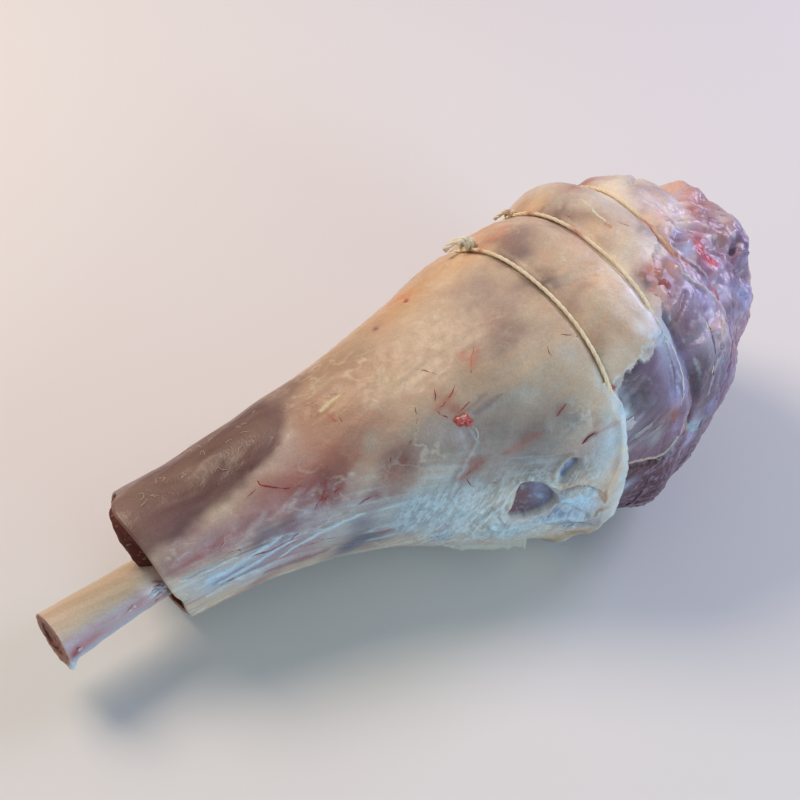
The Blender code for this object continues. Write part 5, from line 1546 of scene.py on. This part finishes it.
def lip_piece():
    """Columns along the section, rows round the leg; lift over the plump skin gives the thickness."""
    angles = np.arange(45.5, -69.6, -0.55)
    edge = np.interp(-angles, -LIP_EDGE[:, 1], LIP_EDGE[:, 0])
    ragged = layers(np.stack([0 * angles, 0 * angles, np.radians(angles) * 70], -1), 5, 141, 3)
    edge = edge + 0.5 * ragged
    present = smooth_steps(45.5, 36, angles) * smooth_steps(-69.5, -55, angles)
    part = np.linspace(0, 1, 34)
    turn = np.linspace(np.pi / 2, -np.pi / 2, 14)[1:-1]
    over = LIP_FROM + (edge[:, None] - LIP_ROUND - LIP_FROM) * part
    top_lift = -0.6 + (present[:, None] * 2.1 + 0.1) * smooth_steps(0.0, 0.8, part)
    half = (0.4 + present * LIP_THICK / 2)[:, None]
    at_edge = edge[:, None] - LIP_ROUND + LIP_ROUND * np.cos(turn)
    edge_lift = top_lift[:, -1:] - half + half * np.sin(turn)
    under = over[:, ::-3]
    under_lift = (top_lift[:, -1:] - 2 * half) - 0.3 * np.linspace(0, 1, under.shape[1])
    along = np.concatenate([over, at_edge, under], 1)
    lift = np.concatenate([top_lift, edge_lift, under_lift], 1)
    rounds = np.broadcast_to(angles[:, None], along.shape)
    points, _, place = leg_surface(along, rounds, lift, True, step=0.0, grooves=0.0)
    colours, wet = paint(place, True)
    # Towards the lip's edge: the cut fat's own pale cream, and a blue-white tint and flecks that are painted highlight
    # of the cool light.
    near_edge = smooth_steps(-7, 0, along - edge[:, None] + 1.5 * layers(points, 4, 142))
    edge_rows = (0.0, 0.8, 4.5, 143, near_edge * 0.8, "#DCCBAA"), (0.1, 0.8, 3.5, 144, near_edge * 0.6, "#A9C4D2")
    colours = mottle(tint(colours, near_edge * 0.75, "#C9D0D2"), points, *edge_rows)
    return shell(points), poled(colours), {"wet": poled(wet), "wrinkled": poled(crinkled(place))}


new_piece("fat_lip", *lip_piece())

# %% [markdown]
# ## Blood vessels and hairs
# Small vessels lie just under the skin's membrane and stand a little proud of it. After skinning, a
# few short curled hairs are left on the shank. Both are fine tubes laid along paths on the skin.


# %% Threads on the skin
def skin_path(track, count, wobble, seed):
    """A smooth line over the skin through places (along, angle), with a wandering tremble."""
    track = np.array(track, float)
    steps = np.linspace(0, len(track) - 1, count)
    along, angle = (smooth_row(np.arange(len(track)), track[:, k], steps) for k in range(2))
    rough = leg_base(along, angle)
    along = along + wobble * layers(rough, 4, seed)
    angle = angle + np.degrees(wobble * layers(rough, 4, seed + 1) / girth_at(along))
    return leg_surface(along, angle)


def threads(specs, second="#5E1512", rough=0.7):
    """Tubes for (colour, radius, track): r * sqrt(4t(1 - t)), thickened and thinned by noise."""
    made = []
    for number, (code, radius, track) in enumerate(specs):
        points, out, _ = skin_path(track, 20 + 14 * len(track), 0.45, 150 + number)
        part = np.linspace(0, 1, len(points))
        swell = np.sqrt(np.clip(4 * part * (1 - part), 0, 1)) * 0.75 + 0.25
        width = radius * swell * np.clip(0.85 + rough * layers(points, 2.6, 151), 0.12, 1.6)
        made.append(coloured(tube(points - out * (0.45 * radius), width, 6), code, (-0.2, 0.9, 1.5, 152, 0.5, second)))
    return join_coloured(made)


# Vessels: colour, radius, then places (along, angle).
VESSELS = (
    ("#8A2620", 0.34, ((-113, 64), (-113, 61), (-112, 59), (-107, 53), (-96.5, 45))),
    ("#8A2620", 0.26, ((-113, 60), (-116, 58), (-121, 56))),
    ("#98302A", 0.26, ((-88, 46), (-88.5, 40), (-91, 34), (-95, 28))),
    ("#8E2A24", 0.42, ((-92, 31), (-87, 33), (-82, 36))), ("#A2432F", 0.22, ((-71, 80), (-72, 72))),
    ("#A8482E", 0.24, ((-74, 82), (-73.5, 75))), ("#8A3028", 0.32, ((-77, 20), (-72, 22), (-67, 21))),
    ("#7A2A26", 0.36, ((-43, -24), (-39, -23))), ("#A4432C", 0.20, ((-36.5, 81), (-34, 76.5), (-31, 72))),
    ("#B4503A", 0.20, ((-13.5, 78), (-17, 73), (-20, 68), (-21, 66))),
    ("#98301F", 0.26, ((-35.5, 66), (-37, 62), (-38.5, 59))),
    ("#9E3226", 0.26, ((-28, 64), (-32, 60), (-36, 57), (-39, 56))),
    ("#9E3226", 0.30, ((-39, 56), (-38, 53), (-35, 50.5))), ("#98302A", 0.30, ((-26, 55), (-30, 52.5), (-33, 51.5))),
    ("#A0352A", 0.18, ((-45, 62), (-46, 57), (-48, 53))), ("#8E2A22", 0.30, ((-47.5, 51), (-49, 49.5))),
    ("#8E2A22", 0.28, ((-51, 46), (-53, 44))), ("#8E3A30", 0.24, ((-61, 41), (-62, 38))),
    ("#7E2420", 0.36, ((1, 38.5), (4, 41), (6.5, 42.5))), ("#6E1818", 0.46, ((8.5, 25.5), (11, 27.5), (14, 29))),
    ("#A8341E", 0.26, ((9.3, 65), (8, 63.5), (7.8, 61.5), (9, 60))), ("#8E2A22", 0.34, ((20.5, 64), (22, 63.5))),
    ("#9A3226", 0.16, ((16, 67), (20, 65))), ("#A03A2E", 0.22, ((-27, 29), (-31, 25), (-35, 21))),
    ("#8A3430", 0.20, ((-34, 20), (-33, 16), (-31, 14))), ("#9A3A30", 0.20, ((-24, 15), (-22, 13))),
    ("#8E3024", 0.30, ((-15.4, 123), (-14.6, 123))), ("#B4342C", 0.34, ((61.5, 110), (62, 107))),
    ("#9C4A3C", 0.30, ((38, 90), (38.4, 89))), ("#8E3A42", 0.26, ((-125, 13), (-116, 12), (-108, 13), (-103, 14))),
    ("#9A4C48", 0.22, ((-134, 28), (-129, 25), (-127, 19))),
    ("#B0603E", 0.24, ((-104, 3), (-99, -1), (-94, -1), (-90.5, 1))),
    ("#7C3A4A", 0.22, ((-112, 6), (-104, 8), (-97, 8))), ("#8A4A56", 0.20, ((-96, 4), (-91, 0), (-84, -2))),
    ("#7A4450", 0.26, ((-140, -2), (-130, 0), (-120, 0))), ("#9A5040", 0.22, ((-141, 41), (-136, 36), (-135, 31))),
    ("#D8344A", 0.55, ((104, 78), (106, 73), (109, 68), (111, 65), (113.5, 62))),
    ("#C4343E", 0.40, ((103, 76), (105, 70), (108, 66))),
    ("#C86A74", 0.45, ((101, 67), (104, 59), (106, 52), (108, 45))), ("#B8484C", 0.40, ((107, 47), (108, 42))),
    ("#C0443C", 0.30, ((72, 63), (72, 60.5))),
)
# Pale cords of connective tissue.
CORDS = (
    ("#E8DCC2", 1.15, ((70.5, 112), (70, 107), (69.5, 101), (69, 95))),
    ("#C98E76", 0.45, ((74, 96), (76, 93), (77, 91))),
    ("#D8C8BE", 0.60, ((84, 68), (91, 61), (98, 55), (104, 49), (109, 42))),
    ("#CFCFC2", 0.62, ((58.0, 62), (58.5, 54), (59.6, 48), (60.6, 43), (61.5, 38), (61.6, 33), (61.8, 28), (62.4, 23))),
    ("#D2BAC0", 0.50, ((92, 72), (98, 64), (103, 58))), ("#C9C0B0", 0.35, ((-29.5, 46), (-28, 41), (-29, 37))),
    ("#C2AC98", 0.36, ((73, 15), (75, 9), (71, 4), (64, 1), (57, 0), (46, 2), (35, 5))),
    ("#B9CCD6", 0.35, ((-144, 12), (-134, 12), (-122, 15), (-110, 18))),
    ("#B9CCD6", 0.35, ((-138, 3), (-126, 5), (-114, 9), (-104, 11))),
    ("#BFD2DA", 0.35, ((-112, -2), (-98, 6), (-86, 10), (-74, 12))),
)
new_piece("pale_cords", *threads(CORDS, second="#B8A894", rough=0.25), None, tendon)
new_piece("blood_vessels", *threads(VESSELS))


# %% Hairs
def hair(along, angle, length, heading, bend, seed):
    """A curled hair: its heading is heading + bend * t and a wander, and its middle is lifted."""
    steps = np.linspace(0, 1, 24)
    line = np.stack([9 * steps, seed * 3.7 + 0 * steps, 0 * steps], -1)
    turned = np.radians(heading + bend * steps + 110 * cloud(line, 2.2, 155))
    stride = length / len(steps)
    alongs = along + np.cumsum(np.cos(turned)) * stride
    arcs = np.cumsum(np.sin(turned)) * stride
    lift = 0.15 + 0.5 * np.sin(np.pi * steps)
    points, _, _ = leg_surface(alongs, angle + np.degrees(arcs / girth_at(alongs)), lift)
    return tube(points, 0.09 * np.sqrt(1.02 - steps), 5)


# Hairs: along, angle, length, heading and bend in degrees.
HAIRS = (
    (-122, 141, 5, -60, 80), (-125, 132, 6, 10, -120), (-123, 108, 5, 60, 150), (-114, 106, 4, -30, 120),
    (-104, 112, 5, 80, -140), (-120, 84, 5, 100, 90), (-134, 99, 6, -20, 160), (-141, 107, 5, 60, -150),
    (-147, 99, 6, 20, 170), (-144, 98, 4, -90, 120), (-139, 106, 4, 0, 200), (-148, 92, 4, 40, -120),
    (-121, 120, 4, 90, 90), (-115, 122, 4, 150, 100), (-117, 97, 6, -60, -110), (-113, 90, 6, 20, 130),
    (-101, 112, 4, 60, 100), (-107, 106, 5, -120, 90), (-106, 90, 4, 10, 160), (-135, 33, 6, -40, 120),
    (-133, 21, 7, 80, -100), (-99, 86, 3, 30, 90), (-79, 98, 6, -30, 60), (-76, 92, 5, 20, -90), (-71, 90, 6, 50, 70),
    (-68, 96, 4, -70, 90), (-141, 46, 4, 90, 90), (-96, 120, 4, 0, 140),
)
hairs = join([hair(*spec, number) for number, spec in enumerate(HAIRS)])
new_piece("stray_hairs", *coloured(hairs, "#D6BE96"), None, tendon)

# %% [markdown]
# ## Lumps and flakes
# Where the leg was cut, small glands and nodules of fat stand up, a clot of blood has dried on the
# cap, and torn silverskin lies on the muscle in flakes.


# %% Lumps
NODULE_RISE = 0.05


def lump_on(along, angle, sizes, turn, seed, rough):
    """A ball stretched to three sizes, pushed in and out by noise, sitting on the skin."""
    centre, out, _ = leg_surface(np.array([float(along)]), np.array([float(angle)]))
    out = out[0]
    ahead = unit(np.array([1.0, 0, 0]) - out * out[0])
    side = np.cross(out, ahead)
    cosine, sine = np.cos(np.radians(turn)), np.sin(np.radians(turn))
    axes = np.stack([ahead * cosine + side * sine, side * cosine - ahead * sine, out])
    polar = np.linspace(0.05, np.pi - 0.05, 26)[:, None]
    round_ball = np.linspace(0, 2 * np.pi, 40, endpoint=False)[None, :]
    flat = np.sin(polar)
    ball = np.stack([flat * np.cos(round_ball), flat * np.sin(round_ball), np.cos(polar) + 0 * round_ball], -1)
    reach = 1 + rough * layers(ball, 0.8, seed, 3) * (0.4 + 0.6 * np.abs(ball[..., 2]))
    return shell(centre[0] + out * NODULE_RISE * sizes[2] + (ball * reach[..., None] * np.array(sizes)) @ axes)


# Nodules: along, angle, sizes, turn, roughness, colour, second colour.
NODULES = (
    (-31.5, 48, (3.0, 2.2, 1.8), 20, 0.75, "#B8504A", "#8C2A28"),
    (-29.5, 46.5, (2.2, 1.7, 1.5), 60, 0.8, "#BE5A54", "#8C2A28"),
    (-33.2, 48.6, (1.6, 1.3, 1.1), 0, 0.8, "#B44A46", "#82201F"),
    (65.5, 64.5, (5.4, 4.6, 1.9), 0, 0.35, "#C29C94", "#B88078"),
    (71.5, 70.5, (3.6, 3.2, 1.7), 20, 0.35, "#C08070", "#A0624F"),
    (-14.5, 124, (1.5, 1.3, 1.0), 0, 0.3, "#CC7C6C", "#B86050"),
)
nodules = []
for number, (along, angle, sizes, turn, rough, code, second) in enumerate(NODULES):
    made = lump_on(along, angle, sizes, turn, 160 + number, rough)
    # The second colour mottles each lump; the pale flecks over it are painted glints.
    nodules.append(coloured(made, code, (-0.2, 0.9, 3.4, 161, 0.8, second), (0.4, 1.0, 1.4, 162, 0.5, "#E6D8D4")))
new_piece("nodules_and_clot", *join_coloured(nodules))


# %% Flakes
def flake(along, angle, reach, reach_round, turn, thick, seed, curl):
    """A ragged thin patch: rings of s * reach on the skin, lifted by thick * (1 - s^4), closed below."""
    around = np.linspace(0, 2 * np.pi, 96, endpoint=False)
    circle = np.stack([np.cos(around), np.sin(around), 0 * around], -1)
    ragged = 1 + 0.4 * layers(circle, 0.7, seed, 3)
    ring = np.linspace(0.06, 1, 12)
    rings = np.concatenate([ring, ring[::-1]])[:, None]
    cosine, sine = np.cos(np.radians(turn)), np.sin(np.radians(turn))
    first = rings * ragged * reach * np.cos(around)
    second = rings * ragged * reach_round * np.sin(around)
    alongs = along + first * cosine - second * sine
    arcs = first * sine + second * cosine
    above = np.concatenate([np.ones(12), np.zeros(12)])[:, None]
    lift = above * thick * (1 - rings**4) ** 0.5 - (1 - above) * 0.35
    lift = lift + curl * rings**2 * (0.5 + 0.5 * np.cos(around - 0.6))
    return shell(leg_surface(alongs, angle + np.degrees(arcs / girth_at(alongs)), lift)[0])


# Flakes: along, angle, reaches, turn, thickness, colour, curl.
FLAKES = (
    (30.5, 27, 3.2, 2.6, 10, 0.3, "#B2A8A8", 0.4), (38, 20, 5.0, 2.0, 25, 0.25, "#928A8E", 0.3),
    (46, 16, 5.0, 1.8, 30, 0.2, "#887E86", 0.2), (81, 8, 3.6, 3.0, 0, 0.3, "#8C96A2", 0.1),
    (86, 5, 3.4, 2.4, 20, 0.3, "#98A0AC", 0.2), (98, 42, 3.0, 2.4, 0, 0.5, "#C0A69E", 0.3),
)


FLAP_ROOT = 0.8


def flap(track, heights, thick, droop, seed):
    """A torn flap standing on a line: base + h(t) * (out * cos(droop) + down * sin(droop)), thin at its edge."""
    points, out, _ = skin_path(track, 90, 0.4, seed)
    heights = np.array(heights, float)
    height = np.interp(np.linspace(0, 1, 90), heights[:, 0], heights[:, 1]) * (1 + 0.2 * layers(points, 2.2, seed + 3))
    ahead = unit(np.gradient(points, axis=0))
    down = np.cross(out, ahead)
    down = down * -np.sign(down[:, 2:].sum())
    way = out * np.cos(np.radians(droop)) + down * np.sin(np.radians(droop))
    across = np.cross(ahead, way)[:, None]
    rise = np.array([0, 0.25, 0.5, 0.75, 1, 1, 0.75, 0.5, 0.25, 0])
    side = np.array([1, 1, 1, 1, 1, -1, -1, -1, -1, -1]) * (1 - 0.75 * rise) * thick / 2
    up = way[:, None] * ((height[:, None] + FLAP_ROOT) * rise)[..., None]
    return shell((points - out * FLAP_ROOT)[:, None] + up + across * side[:, None])


# Flaps: places, then height at parts of the way, thickness and droop.
FLAPS = (
    (
        ((-33, -41), (-20, -43), (-8, -43.5), (0, -43), (5, -42)),
        ((0, 0), (0.1, 1.6), (0.4, 2.6), (0.75, 2.8), (0.88, 4.8), (0.93, 6.2), (0.97, 1), (1, 0)), 1.6, 25,
    ),
    (
        ((12, -38), (18, -37), (24, -37), (30, -36)),
        ((0, 0), (0.2, 2.0), (0.5, 2.6), (0.7, 1.6), (0.85, 3.2), (1, 0)), 1.4, 15,
    ),
)
flaps = join([flap(*spec, 190 + number) for number, spec in enumerate(FLAPS)])
new_piece("fat_flaps", *coloured(flaps, "#B2AFA0", (0.0, 0.8, 3, 195, 0.7, "#9DAEB2")), None, tendon)

flakes = [
    coloured(flake(*where, 180 + number, curl), code, (0.0, 0.9, 2.2, 181, 0.5, "#8E7C80"))
    for number, (*where, code, curl) in enumerate(FLAKES)
]
new_piece("silverskin_flakes", *join_coloured(flakes), None, tendon)

# %% [markdown]
# ## Torn shreds
# Where the skin meets the bone the saw tore it: white and pink threads lie on the bone.


# %% Shreds
SHRED_SINK = 0.45


def shred(along, angle, length, twist, radius, rise, seed):
    """A torn fibre on the bone: along - length * t, angle + twist * t, lifted by rise * sin(pi t) and noise."""
    part = np.linspace(0, 1, 16)
    wander = cloud(np.stack([6 * part, 0 * part, 0 * part], -1), 1.3, seed)
    loose = 0.1 + 0.5 * rise * np.sin(np.pi * part) + 0.25 * wander - SHRED_SINK
    alongs, angles = along - length * part, angle + twist * part
    path = bone_points(alongs, angles)
    away = unit(path - bone_points(alongs, angles, 0.0))
    width = radius * np.sqrt(1.03 - part) * (1 + 0.4 * np.sin(9 * part + seed))
    return tube(path + away * loose[:, None], width, 6)


# Shreds at the skin's torn edge, then crumbs at the bone's sawn tip: along, angle, length, twist, radius, rise.
SHREDS = (
    (-156, 38, 5, -22, 0.8, 0.6), (-156, 33, 8, -10, 1.0, 0.4), (-156, 28, 6, 18, 1.0, 0.6),
    (-156, 23, 10, -6, 1.2, 0.4), (-156, 19, 6, 16, 1.0, 0.6), (-156, 15, 9, -12, 1.1, 0.4),
    (-156, 10, 6, 14, 1.0, 0.6), (-155, 5, 7, -12, 1.0, 0.5), (-155, -2, 6, 16, 0.9, 0.6), (-172, 22, 4, -6, 0.8, 0.0),
    (-200.5, 8, 1.8, 4, 0.9, 0.7), (-204.5, -30, 1.6, 10, 0.8, 0.6), (-204, -44, 1.8, -12, 0.9, 0.7),
    (-203.5, -58, 1.6, 10, 0.8, 0.6), (-205, -20, 1.4, 12, 0.6, 0.5), (-203, -70, 1.4, 10, 0.7, 0.5),
)
SHRED_COLOURS = ("#C8A8A8", "#D0CCD2", "#BE9698", "#C4D0D8", "#CCB6B6")
shreds = []
for number, spec in enumerate(SHREDS):
    shreds.append(coloured(shred(*spec, 200 + number), SHRED_COLOURS[number % len(SHRED_COLOURS)]))
new_piece("torn_shreds", *join_coloured(shreds), None, tendon)

# %% [markdown]
# ## Sizes
# The dressed leg stays inside the CAD model's box. Both boxes are printed.

# %% Write the sizes and finish
low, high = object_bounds()
sizes = {"cad": [list(cad_low), list(cad_high)], "visual": [list(low), list(high)]}
print("CAD box", np.array(sizes["cad"]).round(4).tolist())
print("visual box", np.array(sizes["visual"]).round(4).tolist())
